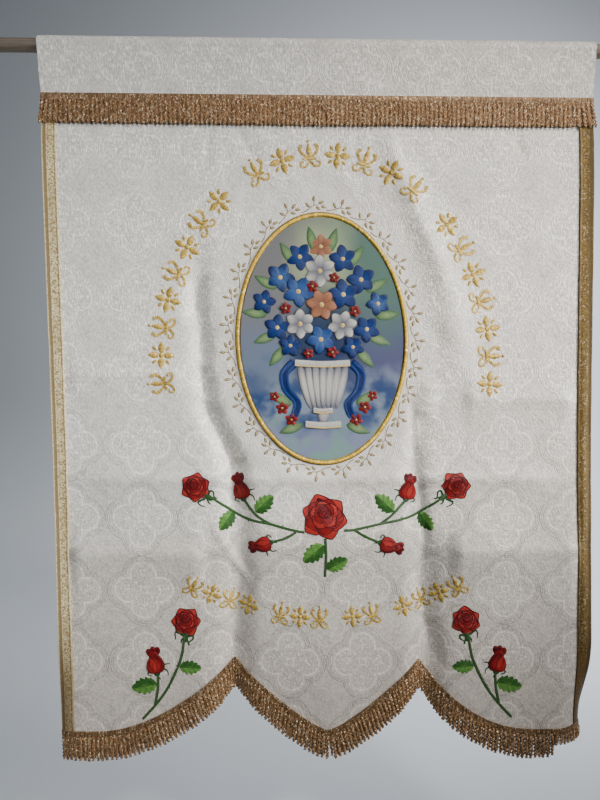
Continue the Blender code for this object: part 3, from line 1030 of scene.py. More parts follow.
def rimmed(inner, rim, start):
    # one colour that turns to another towards the edge
    return lambda x, y, reach: blend(inner, rim, float(smooth((reach - start) / (1 - start))))


# Fringes: a woven header and twisted bullion strands

fringe = {
    "header": panelRows["header"],
    "thick": 0.0018,
    "pitch": 0.0069,         # a strand is two cords twisted together
    "length": 0.0362,
    "cord": 0.00200,         # half a cord's width
    "apart": 0.00175,        # from the strand's axis to each cord's
    "flatten": 0.62,         # strands are this much flatter from front to back
    "turns": 3.3,
    "proud": 0.0013,         # strands stand this far in front of the header's middle
    "uneven": 0.0010,
    "sway": 0.0005,
    "steps": 18,
    "topDown": 0.0855,
    "flare": 0.006,
    "flareReach": 0.030,
    "lean": 0.45,
    "calm": 0.070,
    "shortFrom": 0.357,      # strands past this place, on the curled corner, are shorter
    "shortReach": 0.008,
    "shortBy": 0.021,
    "ribs": 420,
    "rooted": 0.0025,        # strands start this far inside the header
    "gapCord": (0.0006, 0.0012),   # the cords in the gaps: from their axis, and shorter by
}


def uneven(number, step):
    return (math.sin(number * step) + math.sin(number * step * 2.37 + 1.0)) / 2


def topFall(number, across):
    flare = fringe["flare"] * float(smooth(1 - (half - abs(across)) / fringe["flareReach"]))
    sideways = math.copysign(flare, across) + fringe["sway"] * uneven(number, 1.9)
    return sideways, fringe["length"] + fringe["uneven"] * uneven(number, 2.7)


def hemFall(number, across):
    step = 0.002
    slope = float(hemLine(across + step) - hemLine(across - step)) / (2 * step)
    calm = float(smooth(min(abs(across - part[1]) for part in scallops) / fringe["calm"]))
    length = fringe["length"] + fringe["uneven"] * uneven(number, 2.3)
    length -= fringe["shortBy"] * float(smooth((across - fringe["shortFrom"]) / fringe["shortReach"]))
    lean = fringe["lean"] * (1.0 if slope < 0 else 0.45)
    aim = Vector((-slope * lean * calm, 1.0)).normalized() * length
    return aim.x + fringe["sway"] * uneven(number, 1.7) * 1.6, aim.y


def strandPlaces(headerTop):
    # even steps along the header's line
    fine = np.linspace(-half, half, 4001)
    line = np.array([headerTop(x) for x in fine])
    run = runAlong(fine, line)
    count = round(run[-1] / fringe["pitch"])
    return np.interp((np.arange(count) + 0.5) * run[-1] / count, run, fine)


def addCord(bm, root, reach, depth, number, spin, apart, sides, steps):
    # one cord of a strand, winding round the strand's axis from its root (across, down)
    lay = bm.verts.layers.float_vector["lay"]
    for vert in addCopy(bm, unitTube(sides, steps)):
        t = min(max(vert.co.z, 0.0), 1.0)
        angle = math.atan2(vert.co.y, vert.co.x)
        turn = spin + 2 * math.pi * fringe["turns"] * t
        size = fringe["cord"] * (1.0 - 0.30 * t ** 8 + 0.08 * math.sin(number * 1.3 + t * 9))
        out = apart * (1.0 - 0.35 * t ** 10)
        x = out * math.cos(turn) + size * math.cos(angle)
        y = (out * math.sin(turn) + size * math.sin(angle)) * fringe["flatten"]
        bow = fringe["sway"] * math.sin(math.pi * t) * uneven(number, 3.1)
        forward = depth + fringe["proud"] * float(smooth(t * 6))
        vert.co = (root[0] + reach[0] * t + x + bow, -(forward + y), -(root[1] + reach[1] * t))
        vert[lay] = (angle * 0.0012, t * reach[1] + angle * 0.0018, number * 0.001 + spin)


def addHeader(bm, headerTop, back):
    # the woven strip that the strands hang from, ribbed up and down
    lay = bm.verts.layers.float_vector["lay"]
    ribs = fringe["ribs"]
    strip = bmesh.new()
    bmesh.ops.create_grid(strip, x_segments=ribs, y_segments=5, size=0.5)
    for vert in strip.verts:
        across, share = vert.co.x * 2 * half, 0.5 - vert.co.y
        rib = 0.00035 * (round((vert.co.x + 0.5) * ribs) % 2)
        proud = back + fringe["thick"] + rib + 0.0004 * math.sin(share * math.pi)
        vert.co = (across, -proud, -(headerTop(across) + fringe["header"] * share))
    for vert in addStrip(bm, strip, back):
        vert[lay] = (-vert.co.z * 0.6, vert.co.x, 0.5)


def makeFringe(name, node, headerTop, back, fall):
    bm = newStitchwork()
    centre = back + fringe["thick"] / 2
    places = strandPlaces(headerTop)
    for number, across in enumerate(places):
        root = (float(across), headerTop(across) + fringe["header"] - fringe["rooted"])
        sideways, length = fall(number, float(across))
        reach = (sideways, length + fringe["rooted"])
        for spin in (0.0, math.pi):
            addCord(bm, root, reach, centre, number, number * 2.4 + spin, fringe["apart"], 5,
                    fringe["steps"])
    for number, (left, right) in enumerate(zip(places, places[1:])):
        # plain cords behind, in the gaps
        across = float(left + right) / 2
        root = (across, headerTop(across) + fringe["header"] - fringe["rooted"])
        sideways, length = fall(number, across)
        apart, shorter = fringe["gapCord"]
        reach = (sideways, length - shorter)
        addCord(bm, root, reach, centre - fringe["proud"], number, number * 1.1, apart, 4, 8)
    strands = len(bm.faces)
    addHeader(bm, headerTop, back)
    bm.faces.ensure_lookup_table()
    for face in bm.faces[strands:]:
        face.material_index = 1
    return finishPiece(name, bm, [metal["copperStrand"], metal["copperHeader"]], node,
                       smoothAngle=75)


overPanel = cloth["thick"] / 2 + cloth["gap"]
overHeading = overPanel + heading["thick"] + cloth["gap"]
topFringe = makeFringe("topFringe", "top_fringe", lambda across: fringe["topDown"], overHeading,
                       topFall)
hemFringe = makeFringe("hemFringe", "hem_fringe", lambda across: float(hemLine(across)), overPanel,
                       hemFall)
print("fringes are made")


# Braids: two ridges beside a glittering zigzag, plain strips outside them

braid = {
    "width": 0.022,
    "top": panelRows["braidTop"],
    "thick": 0.0012,
    "cellsAcross": 16,
    "cellsDown": 420,
    "ridge": 0.0005,
    "zigzag": 0.00055,
    "zigzagStep": 0.0052,
    "slant": 0.55,
    "ridges": (0.04, 0.34, 0.94),   # at these shares of the width from the outer edge
    "ridgeWidth": 0.035,
    "zigzagFrom": 0.36,
    "zigzagTo": 0.84,
    "zigzagFade": 0.06,
}
goldBraid = makeBraidGold()


def braidSlant(share):
    return abs(share - (braid["zigzagFrom"] + braid["zigzagTo"]) / 2) * braid["width"] * braid["slant"]


def braidProud(share, down):
    # the braid's relief at a share of its width from the outer edge
    ridges = sum(math.exp(-((share - place) / braid["ridgeWidth"]) ** 2) for place in braid["ridges"])
    inside = smooth((share - braid["zigzagFrom"]) / braid["zigzagFade"])
    inside = float(inside * smooth((braid["zigzagTo"] - share) / braid["zigzagFade"]))
    slant = braidSlant(share)
    wave = abs((((down - slant) / braid["zigzagStep"]) % 1.0) - 0.5) * 2
    return braid["ridge"] * ridges + braid["zigzag"] * wave * inside


def makeBraid(name, node, side):
    bm = newStitchwork()
    lay = bm.verts.layers.float_vector["lay"]
    flat = bmesh.new()
    bmesh.ops.create_grid(flat, x_segments=braid["cellsAcross"], y_segments=braid["cellsDown"],
                          size=0.5)
    for vert in flat.verts:
        share = vert.co.x + 0.5 if side < 0 else 0.5 - vert.co.x
        across = side * (half - share * braid["width"])
        end = float(hemLine(across)) - cloth["gap"]
        down = braid["top"] + (end - braid["top"]) * (0.5 - vert.co.y)
        proud = overPanel + braid["thick"] + braidProud(share, down)
        vert.co = (across, -proud, -down)
    for vert in addStrip(bm, flat, overPanel):
        share = (half - abs(vert.co.x)) / braid["width"]
        vert[lay] = (share * braid["width"], -vert.co.z - braidSlant(share), 0.3 + side)
    return finishPiece(name, bm, [goldBraid], node, smoothAngle=60)


braidLeft = makeBraid("braidLeft", "braid_left", -1)
braidRight = makeBraid("braidRight", "braid_right", 1)
print("braids are made")


# The medallion: a stiff oval of shaded satin with its own bouquet, and a satin-stitch border

def makeShadedSatin():
    # a soft sky: grey and teal round a pale glow, then lilac and blue, with clouds below
    material, tree, shader = newMaterial("shadedSatin", Specular_IOR_Level=0.18)
    vector = attributeOf(tree, "pattern")
    place = parts(vector)
    x = place[0] / medallion["halfWidth"]
    y = (place[1] - medallion["down"]) / medallion["halfHeight"]
    drift = noiseOf(vector, 17.0, 2.0, 0.5) - 0.5
    sky = mixColors(step01(x, -0.5, 0.6), (0.140, 0.140, 0.144), (0.070, 0.128, 0.106))
    glow = distance2(x * 1.15, y + 0.58)
    glow = drift * 0.4 + glow
    sky = mixColors(step01(glow, 0.10, 0.62, 0.9, 0.0), sky, (0.300, 0.350, 0.205))
    middle = mixColors(step01(x, -0.6, 0.5), (0.110, 0.142, 0.205), (0.066, 0.072, 0.145))
    ground = mixColors(step01(drift * 0.5 + y, -0.45, 0.20), sky, middle)
    shade = distance2(x * 1.25, y - 0.02)
    shade = step01(drift * 0.3 + shade, 0.26, 0.66, 0.88, 0.0)
    ground = mixColors(shade, ground, (0.010, 0.024, 0.066))
    billow = noiseOf(vector, 24.0, 3.5, 0.55)
    cloud = mixColors(step01(billow, 0.40, 0.62), (0.024, 0.050, 0.135), (0.165, 0.205, 0.270))
    ground = mixColors(step01(drift * 0.6 + y, 0.15, 0.50), ground, cloud)
    base = mixColors(step01(billow, 0.42, 0.60), (0.170, 0.195, 0.290), (0.150, 0.255, 0.235))
    ground = mixColors(step01(drift * 0.5 + y, 0.58, 0.80), ground, base)
    weave = calc("SINE", place[1] * 2 * math.pi / 0.0005)
    dress(shader, ground, 0.42, weave * 0.00002)
    return material


def onOval(point):
    # a pattern point in shares of the medallion's half width and half height
    return point.x / medallion["halfWidth"], (-point.z - medallion["down"]) / medallion["halfHeight"]


def ovalRing(bm, inset, proud, sides):
    ring = bmesh.ops.create_circle(bm, cap_ends=False, radius=1.0, segments=sides)["verts"]
    for vert in ring:
        across = vert.co.x * (medallion["halfWidth"] - inset)
        down = medallion["down"] - vert.co.y * (medallion["halfHeight"] - inset)
        vert.co = (across, -proud, -down)
    return {edge for vert in ring for edge in vert.link_edges}


def makeMedallionPanel():
    # a flattened ball: its upper half is the front, its lower half the back
    rings = 13
    bm = bmesh.new()
    bmesh.ops.create_uvsphere(bm, u_segments=96, v_segments=2 * rings, radius=1)
    inset = medallion["borderWidth"] + cloth["gap"]
    for vert in bm.verts:
        angle = math.atan2(vert.co.y, vert.co.x)
        share = 1 - abs(math.asin(max(min(vert.co.z, 1.0), -1.0))) / (math.pi / 2)
        reach = min(share * rings / (rings - 1), 1.0) * (0.999 if abs(vert.co.z) > 1e-4 else 1.0)
        proud = overPanel + medallion["thick"] / 2 * (1 + (vert.co.z > 1e-4) - (vert.co.z < -1e-4))
        across = math.cos(angle) * reach * (medallion["halfWidth"] - inset)
        up = math.sin(angle) * reach * (medallion["halfHeight"] - inset)
        vert.co = (across, -proud, up - medallion["down"])
    return finishPiece("medallionCloth", bm, [makeShadedSatin()], "medallion_panel")


border = {"sides": 300, "profile": 9, "goldFrom": 0.9515, "goldTo": 0.9920}


def makeBorder():
    bm = bmesh.new()
    lay = bm.verts.layers.float_vector.new("lay")
    rings = []
    girth = math.pi * (medallion["halfWidth"] + medallion["halfHeight"])
    for i in range(border["profile"] + 1):
        share = i / border["profile"]
        bow = math.sin(math.pi * share) ** 0.6
        rings.append(ovalRing(bm, medallion["borderWidth"] * share,
                              overPanel + medallion["borderProud"] * bow,
                              border["sides"]))
    for ring, following in zip(rings, rings[1:] + rings[:1]):
        bmesh.ops.bridge_loops(bm, edges=list(ring | following))
    for face in bm.faces:
        x, y = onOval(face.calc_center_median())
        face.material_index = 0 if border["goldFrom"] < math.hypot(x, y) < border["goldTo"] else 1
    for vert in bm.verts:
        x, y = onOval(vert.co)
        around = math.atan2(y, x) / (2 * math.pi)
        vert[lay] = (math.hypot(x, y) * 0.1, around * girth, 0.7)
    return finishPiece("medallionBorder", bm, [metal["goldBorder"], metal["goldBorderEdge"]],
                       "medallion_border")


medallionCloth = makeMedallionPanel()
medallionBorder = makeBorder()
print("medallion and border are made")


# Embroidery: roses, buds, leaves and stems in silk

silk = {
    "outline": (0.060, 0.004, 0.006),
    "deep": (0.130, 0.006, 0.008),
    "red": (0.225, 0.010, 0.010),
    "light": (0.360, 0.028, 0.021),
    "stem": (0.038, 0.100, 0.028),
    "stemEdge": (0.016, 0.045, 0.016),
    "sepal": (0.022, 0.062, 0.024),
    "leafDark": (0.018, 0.078, 0.012),
    "leafLight": (0.105, 0.255, 0.048),
    "leafEdge": (0.012, 0.042, 0.012),
    "floor": 0.0006,         # stitches sink a little into the cloth
    "edge": 0.0009,          # a dark outline shows this far round each petal
    "leafWidth": 0.31,       # a leaf's width, as a share of its length
    "stemWidth": 0.0036,
}

# A rose's rings of petals, from the outside in: petals, out, half width, half height, point,
# first turn, shift up, base colour, tip colour; sizes are shares of the rose's half width
roseRings = (
    (6, 0.55, 0.47, 0.40, 0.42, 14, 0.00, "red", "light"),
    (5, 0.43, 0.44, 0.34, 0.30, 46, 0.02, "deep", "red"),
    (5, 0.31, 0.37, 0.29, 0.15, 8, 0.08, "red", "light"),
    (4, 0.21, 0.29, 0.24, 0.10, 38, 0.14, "deep", "red"),
    (3, 0.11, 0.20, 0.18, 0.00, 10, 0.19, "outline", "deep"),
)
roseLift = 0.00026


class Motif:
    # a design's own frame on the cloth, x across it and y up it, both in shares of its size
    def __init__(self, bm, place, size, turn, side, seed, floor=silk["floor"]):
        self.bm, self.place, self.size, self.turn = bm, place, size, turn
        self.side, self.seed, self.floor = side, seed, floor

    def at(self, x, y):
        return placedAt(self.place, self.turn, self.size, self.side * x, y)

    def line(self, path, width, rise, lift, color, sides, steps, taper=(1, 1), seed=0.0):
        points = [self.at(x, y) for x, y in path]
        addLine(self.bm, points, width, rise, self.floor + lift, color, sides, steps, taper,
                self.seed + seed)

    def patch(self, outline, spot, lean, lift, rise, shade, sides, rings, grain=0.0, seed=0.0):
        place, floor, seed = self.at(*spot), self.floor + lift, self.seed + seed
        addPatch(self.bm, outline, place, self.turn + lean, floor, rise, shade, sides, rings, grain,
                 seed)


def petalPaintedShadow(base, tip, wide, tall):
    # painted shadow: darker at the base and at the side that lies under its neighbour, lighter towards the
    # tip
    def shade(x, y, reach):
        t = float(smooth(y / tall * 0.55 + 0.50)) * (1 - 0.65 * float(smooth((x / wide - 0.15) / 0.8)))
        return blend(base, tip, t)
    return shade


def addPetalEdge(rose, out, wide, tall, point, lean, rise, spread, lift, seed):
    # a dark stitched arc along the part of a petal's edge that shows
    arc = []
    edge = ovalEdge(wide, tall, point)
    for k in range(31):
        ex, ey = edge(math.radians(-40 + 260 * k / 30))
        toward = math.degrees(math.atan2(-ex, ey + out))
        if -spread - 20 <= toward <= spread + 3 and ey + out > out * 0.5:
            x = ex * math.cos(lean) - (ey + out) * math.sin(lean)
            y = ex * math.sin(lean) + (ey + out) * math.cos(lean)
            arc.append((x, y + rise))
    if len(arc) > 3:
        rose.line(arc, 0.0012, 0.0005, lift, silk["outline"], 4, 12, seed=seed)


def addRose(bm, place, size, turn, seed):
    edge, rose = silk["edge"], Motif(bm, place, size, turn, 1, seed)
    for ring, (count, out, wide, tall, point, start, rise, base, tip) in enumerate(roseRings):
        for k in range(count):
            lean = math.radians(start + 360 * k / count + 8 * uneven(k + seed * 7, 2.1))
            grow = 1 + 0.09 * uneven(k * 3 + ring + seed * 5, 1.3)
            spot = (-out * math.sin(lean), out * math.cos(lean) + rise)
            lift = roseLift * ring + 0.00003 * k
            w, h = size * wide * grow, size * tall * grow
            under, over = ovalEdge(w + edge, h + edge, point), ovalEdge(w, h, point)
            shade = petalPaintedShadow(silk[base], silk[tip], w, h)
            rose.patch(under, spot, lean, lift, 0.0006, plain(silk["outline"]), 18, 4)
            rose.patch(over, spot, lean, lift + 0.00012, 0.0006, shade, 18, 6, 1.3, ring + k * 0.37)
            addPetalEdge(rose, out, wide * grow, tall * grow, point, lean, rise, 180 / count,
                         lift + 0.00045, k)
    swirl = []
    for k in range(16):
        angle = math.radians(200 + 38 * k)
        away = 0.20 * (1 - k / 16) + 0.02
        swirl.append((away * math.cos(angle), 0.21 + away * 0.85 * math.sin(angle)))
    rose.line(swirl, 0.0010, 0.0005, roseLift * 5 + 0.0003, silk["red"], 4, 40)


# A bud's petals, pointing up: across, up, half width, half height, lean, narrowing, level, base
# colour, tip colour; sizes are shares of its half height
budPetals = (
    (-0.25, 0.60, 0.19, 0.26, 20, 0.0, 1, "deep", "red"),
    (0.27, 0.62, 0.18, 0.26, -22, 0.0, 1, "outline", "deep"),
    (0.02, 0.66, 0.18, 0.30, 0, 0.0, 2, "deep", "red"),
    (0.00, 0.32, 0.31, 0.36, 0, 0.0, 3, "deep", "red"),
    (0.11, -0.22, 0.48, 0.60, -6, 0.30, 4, "red", "deep"),
    (-0.13, -0.26, 0.45, 0.55, 9, 0.34, 5, "light", "red"),
    (-0.06, -0.36, 0.20, 0.40, -4, 0.20, 6, "light", "red"),
)
budCurls = (((-0.36, 0.66), (-0.24, 0.78), (-0.14, 0.62)), ((-0.08, 0.74), (0.04, 0.86), (0.14, 0.70)),
            ((0.18, 0.62), (0.30, 0.74), (0.40, 0.62)))
budLines = (((-0.24, 0.40), (-0.02, 0.10), (0.12, -0.22), (0.08, -0.66)),
            ((0.14, 0.46), (0.22, 0.18), (0.44, -0.10), (0.46, -0.46)),
            ((-0.30, 0.10), (-0.36, -0.20), (-0.24, -0.60)))
budSepals = (((-0.12, -0.80), (-0.50, -0.68), (-0.62, -0.86), (-0.34, -1.00)),
             ((0.00, -0.82), (0.05, -1.06), (0.16, -1.32)),
             ((0.12, -0.80), (0.50, -0.64), (0.72, -0.80), (0.74, -1.12)),
             ((0.46, -0.50), (0.62, -0.34), (0.98, -0.34)))


def eggEdge(wide, tall, narrow):
    # an oval that is narrower above and fuller below
    def edge(angle):
        return wide * math.cos(angle) * (1 - narrow * math.sin(angle)), tall * math.sin(angle)
    return edge


def between(base, tip):
    # the middle of a motif that runs from base to tip, its half length and its turn
    middle = ((base[0] + tip[0]) / 2, (base[1] + tip[1]) / 2)
    return middle, math.dist(base, tip) / 2, math.atan2(base[0] - tip[0], base[1] - tip[1])


def addBud(bm, base, tip, side, seed):
    bud, edge = Motif(bm, *between(base, tip), side, seed), silk["edge"]
    for path in budSepals:
        bud.line(path, 0.0030, 0.0008, 0, silk["sepal"], 4, 10, (1.2, 0.5))
    cup = ovalEdge(bud.size * 0.24, bud.size * 0.24)
    bud.patch(cup, (0, -0.84), 0, 0.0002, 0.0009, plain(silk["sepal"]), 12, 4)
    for i, (x, y, wide, tall, lean, narrow, level, inner, outer) in enumerate(budPetals):
        lean, lift = side * math.radians(lean), roseLift * level
        w, h = bud.size * wide, bud.size * tall
        under, over = eggEdge(w + edge, h + edge, narrow), eggEdge(w, h, narrow)
        shade = rimmed(silk[inner], silk[outer], 0.25)
        bud.patch(under, (x, y), lean, lift, 0.0006, plain(silk["outline"]), 18, 4)
        bud.patch(over, (x, y), lean, lift + roseLift * 0.7, 0.0006, shade, 18, 6, 1.4, i * 0.41)
    for path in budCurls + budLines:
        bud.line(path, 0.0013, 0.0006, 0.0020, silk["outline"], 4, 8, (1.0, 0.6))


def leafShape(wide, tall, teeth):
    # a leaf's edge: round at its base, pointed at its tip, its teeth leaning forward
    def edge(angle):
        share = (math.sin(angle) + 1) / 2
        tooth = (share * teeth) % 1.0
        out = math.sin(math.pi * share ** 0.86) ** 0.62 * (0.78 + 0.42 * tooth)
        return math.copysign(wide * out, math.cos(angle)), tall * math.sin(angle)
    return edge


def addLeaf(bm, base, tip, side, seed):
    # a toothed leaf growing from base to tip, half of it lighter
    leaf, edge = Motif(bm, *between(base, tip), side, seed), silk["edge"]
    w, h = 2 * leaf.size * silk["leafWidth"], leaf.size

    def shade(x, y, reach):
        light = float(smooth(side * x / (w * 0.25) + 0.5))
        vein = 0.5 + 0.5 * math.cos((y / h * 4.5 - abs(x) / w * 1.6) * math.pi)
        mix = min(light * (0.55 + 0.45 * vein) + 0.14 * vein, 1.0)
        return blend(silk["leafDark"], silk["leafLight"], mix)

    under, over = leafShape(w + edge, h + edge * 0.6, 5), leafShape(w, h - edge * 0.4, 5)
    leaf.patch(under, (0, 0), 0, 0, 0.0006, plain(silk["leafEdge"]), 72, 4)
    leaf.patch(over, (0, 0), 0, 0.0003, 0.0007, shade, 72, 8, 0.8)
    leaf.line([(0, y) for y in (-0.95, -0.3, 0.3, 0.8)], 0.0010, 0.0005, 0.0009, silk["leafEdge"], 4, 6,
              (1, 0.4))


def addStem(bm, points, seed, thorns):
    floor, width = silk["floor"], silk["stemWidth"]
    addLine(bm, points, width + 0.0010, 0.0009, floor, silk["stemEdge"], 6, 20, seed=seed)
    addLine(bm, points, width - 0.0008, 0.0009, floor + 0.00045, silk["stem"], 6, 20, seed=seed)
    for t, side in thorns:
        here = curvePoint(points, t)
        ahead = (curvePoint(points, min(t + 0.03, 1)) - curvePoint(points, t)).normalized()
        tip = here + Vector((-ahead.y, ahead.x)) * side * 0.0050 + ahead * 0.001
        addLine(bm, [here[:], tip[:]], 0.0026, 0.0008, floor, silk["stemEdge"], 4, 2, taper=(1, 0.2),
                seed=seed)


roseSepals = (((0.15, 0.00), (0.90, 0.15), (1.00, -0.30), (0.50, -0.75), (0.55, -1.25)),
              ((-0.40, 0.10), (-1.25, 0.60), (-1.50, 0.20), (-1.35, -0.55)),
              ((0.10, -0.20), (0.35, -0.75), (0.40, -1.15)),
              ((-0.15, -0.10), (-0.55, -0.55), (-0.60, -1.00)))


def addSepals(bm, place, size, turn, side, seed):
    # the green cup under a rose, and its hooked sepals
    cup = Motif(bm, place, size, turn, side, seed)
    for path in roseSepals:
        cup.line(path, 0.0030, 0.0009, 0, silk["sepal"], 4, 12, (1.3, 0.5))
    shade = rimmed(silk["leafDark"], silk["sepal"], 0.2)
    cup.patch(ovalEdge(size * 0.38, size * 0.76), (0, -0.10), 0, 0.0002, 0.0009, shade, 14, 4)


# The middle spray: roses (across, down, half width, turn), buds and leaves (base to tip, lighter
# side), sepals (across, down, size, turn)
spray = {
    "roses": ((-0.001, 0.7385, 0.0365, 0), (-0.202, 0.691, 0.0232, 42), (0.207, 0.689, 0.0232, -42)),
    "buds": (((-0.127, 0.714), (-0.139, 0.670), 1), ((0.128, 0.714), (0.138, 0.670), -1),
             ((-0.083, 0.777), (-0.122, 0.788), -1), ((0.084, 0.778), (0.125, 0.790), 1)),
    "stems": mm((
        ((0, 772), (1, 800), (-1, 834)),
        ((-32, 762), (-50, 759), (-86, 749), (-116, 743), (-144, 732),
         (-182, 704)),
        ((30, 759), (46, 758), (87, 749), (118, 743), (146, 734),
         (187, 707)),
        ((-86, 749), (-108, 735), (-125, 714)),
        ((87, 749), (105, 736), (126, 714)),
        ((-46, 762), (-64, 772), (-84, 777)),
        ((46, 758), (64, 769), (85, 778)),
    )),
    "thorns": ((0.30, 1), (0.62, -1)),
    "leaves": (((-0.002, 0.782), (-0.035, 0.810), 1), ((0.002, 0.822), (0.035, 0.804), 1),
               ((-0.109, 0.731), (-0.081, 0.704), -1), ((0.109, 0.730), (0.080, 0.703), 1),
               ((-0.144, 0.731), (-0.166, 0.759), 1), ((0.150, 0.732), (0.170, 0.760), -1)),
    "sepals": ((-0.184, 0.706, 0.0115, 55, 1), (0.188, 0.706, 0.0115, -55, -1)),
}

# A corner spray, as on the left; the right one is its mirror image
corner = {
    "roses": ((-0.222, 0.906, 0.0232, 12),),
    "buds": (((-0.269, 0.991), (-0.277, 0.945), 1),),
    "stems": mm((
        ((-225, 926), (-230, 960), (-242, 990), (-256, 1016), (-274, 1040),
         (-294, 1062)),
        ((-268, 990), (-269, 1013), (-274, 1040)),
    )),
    "thorns": ((0.30, 1), (0.55, -1)),
    "leaves": (((-0.234, 0.977), (-0.199, 0.980), 1), ((-0.270, 1.004), (-0.311, 1.013), -1)),
    "sepals": ((-0.223, 0.929, 0.0115, -4, 1),),
}


def addSpray(bm, plan, mirror, shift, seed):
    def at(point):
        return mirror * point[0] + shift, point[1]

    for i, line in enumerate(plan["stems"]):
        addStem(bm, [at(point) for point in line], seed + i, plan["thorns"] if len(line) > 3 else ())
    for across, down, size, turn, side in plan["sepals"]:
        addSepals(bm, at((across, down)), size, math.radians(turn) * mirror, side * mirror, seed)
    for i, (base, tip, side) in enumerate(plan["leaves"]):
        addLeaf(bm, at(base), at(tip), side * mirror, seed + i * 0.7)
    for i, (base, tip, side) in enumerate(plan["buds"]):
        addBud(bm, at(base), at(tip), side * mirror, seed + i * 1.3)
    for i, (across, down, size, turn) in enumerate(plan["roses"]):
        addRose(bm, at((across, down)), size, math.radians(turn) * mirror, seed + i * 2.1)


def makeRoses():
    for name, plan, mirror in (("middleSpray", spray, 1), ("leftSpray", corner, 1),
                               ("rightSpray", corner, -1)):
        bm = newStitchwork()
        addSpray(bm, plan, mirror, 0.001 if mirror < 0 else 0.0, len(name) * 0.9)
        finishStitches(name, bm, silkThread)


makeRoses()
print("roses are embroidered")


# The wreath round the medallion: a chain of sprigs that runs clockwise, in olive-beige thread

wreath = {
    "sprigs": 27,
    "nodeOut": 0.011,        # each sprig's leaves fan from a node this far outside the border
    "stem": 0.0012,
    "leafWidth": 0.0027,
    "color": (0.40, 0.315, 0.160),
    "edge": (0.190, 0.138, 0.062),
    "darkEdge": (0.085, 0.058, 0.032),
    "darkBelow": 0.52,       # painted shade: the edge darkens below this and left of the next place
    "darkLeft": 0.02,
    "darkOver": 0.08,
}

# In mm clockwise from the node and outward from the border
sprigStem = ((-22, 3.5), (-13, 4.5), (-5, 8.5), (0, 11), (8, 12))
sprigStalk = ((0, 11), (1, 14), (1, 17))
sprigLeaves = (((-6, 8.5), (-12, 17)), ((1, 16), (1.5, 26)), ((3, 9), (11, 3.5)), ((11, 10), (20, 7)),
               ((7, 13), (16, 17.5)))


def wreathFrame(turn, out):
    # a place outside the medallion's oval
    a, b = medallion["halfWidth"], medallion["halfHeight"]
    outward = Vector((math.cos(turn) / a, math.sin(turn) / b)).normalized()
    return Vector((a * math.cos(turn), b * math.sin(turn))) + outward * out


def addSprigLeaf(bm, base, tip, edge, seed):
    leaf, wide = Motif(bm, *between(base, tip), 1, seed), wreath["leafWidth"]
    under, over = ovalEdge(wide, leaf.size, 0.35), ovalEdge(wide * 0.55, leaf.size * 0.72, 0.35)
    leaf.patch(under, (0, 0), 0, 0, 0.0007, plain(edge), 12, 4)
    leaf.patch(over, (0, 0), 0, 0.0003, 0.0007, plain(wreath["color"]), 10, 4)


def makeWreath():
    bm = newStitchwork()
    floor = silk["floor"]
    steps = np.linspace(0, 2 * math.pi, 1441)
    line = np.array([wreathFrame(step, wreath["nodeOut"])[:] for step in steps])
    run = runAlong(*line.T)
    for i in range(wreath["sprigs"]):
        here = i * run[-1] / wreath["sprigs"]

        def at(point):
            turn = float(np.interp((here - point[0] / 1000) % run[-1], run, steps))
            place = wreathFrame(turn, point[1] / 1000 + 0.0008 * uneven(i, 1.7))
            return place.x, medallion["down"] - place.y

        seed = i * 0.61
        across, down = at((0, 0))
        # painted shade on the edges of the lower left sprigs, on the side away from the lamps
        paintedShadeBelow = smooth((down - wreath["darkBelow"]) / wreath["darkOver"])
        paintedShadeBelow = float(paintedShadeBelow * smooth((wreath["darkLeft"] - across) / wreath["darkOver"]))
        edge = blend(wreath["edge"], wreath["darkEdge"], paintedShadeBelow * 0.7)
        addLine(bm, [at(point) for point in sprigStem], wreath["stem"], 0.0007, floor, edge, 4, 12,
                taper=(1.2, 0.8), seed=seed)
        addLine(bm, [at(point) for point in sprigStalk], wreath["stem"], 0.0007, floor, edge, 4, 4,
                seed=seed)
        for k, (base, tip) in enumerate(sprigLeaves):
            addSprigLeaf(bm, at(base), at(tip), edge, seed + k)
    finishStitches("wreath", bm, silkThread)


makeWreath()
print("wreath is embroidered")


# Gold ornament on the two arcs: fleurons and blossoms in satin stitch

arcs = {
    "upper": {"centre": (0.006, 0.500), "reach": (0.258, 0.326), "start": 185, "stop": -5,
              "groups": (8, 7, 7), "height": 0.046, "gap": 0.7},
    "lower": {"centre": (0.000, 0.420), "reach": (0.470, 0.480), "start": -116.5, "stop": -63.5,
              "groups": (4, 3, 2, 4), "height": 0.0385, "gap": 0.7},
}


goldDye = (1, 1, 1)
fleuronLeaf = ((0.05, -0.18), (0.36, 0.02), (0.62, 0.38), (0.48, 0.70))
fleuronFoot = ((0.03, -0.36), (0.26, -0.70), (0.60, -0.74), (0.64, -0.46), (0.42, -0.44))
fleuronBar = ((-0.46, -0.26), (0, -0.22), (0.46, -0.26))


def addFleuron(bm, place, turn, height, seed):
    # three leaves over a bar with a bead on top and curled feet
    unit, gold = height / 2, plain(goldDye)
    fleuron = Motif(bm, place, unit, turn, 1, seed)
    fleuron.patch(ovalEdge(unit * 0.20, unit * 0.48, 0.5), (0, 0.32), 0, 0, 0.0014, gold, 12, 4)
    fleuron.patch(ovalEdge(unit * 0.12, unit * 0.12), (0, 0.92), 0, 0, 0.0012, gold, 8, 4)
    for fleuron.side in (-1, 1):
        fleuron.line(fleuronLeaf, unit * 0.27, 0.0013, 0, goldDye, 6, 9, (0.6, 1.0), fleuron.side)
        fleuron.line(fleuronFoot, unit * 0.19, 0.0012, 0, goldDye, 6, 12, (1.0, 0.7), -fleuron.side)
    fleuron.line(fleuronBar, unit * 0.18, 0.0013, 0.0002, goldDye, 6, 6)


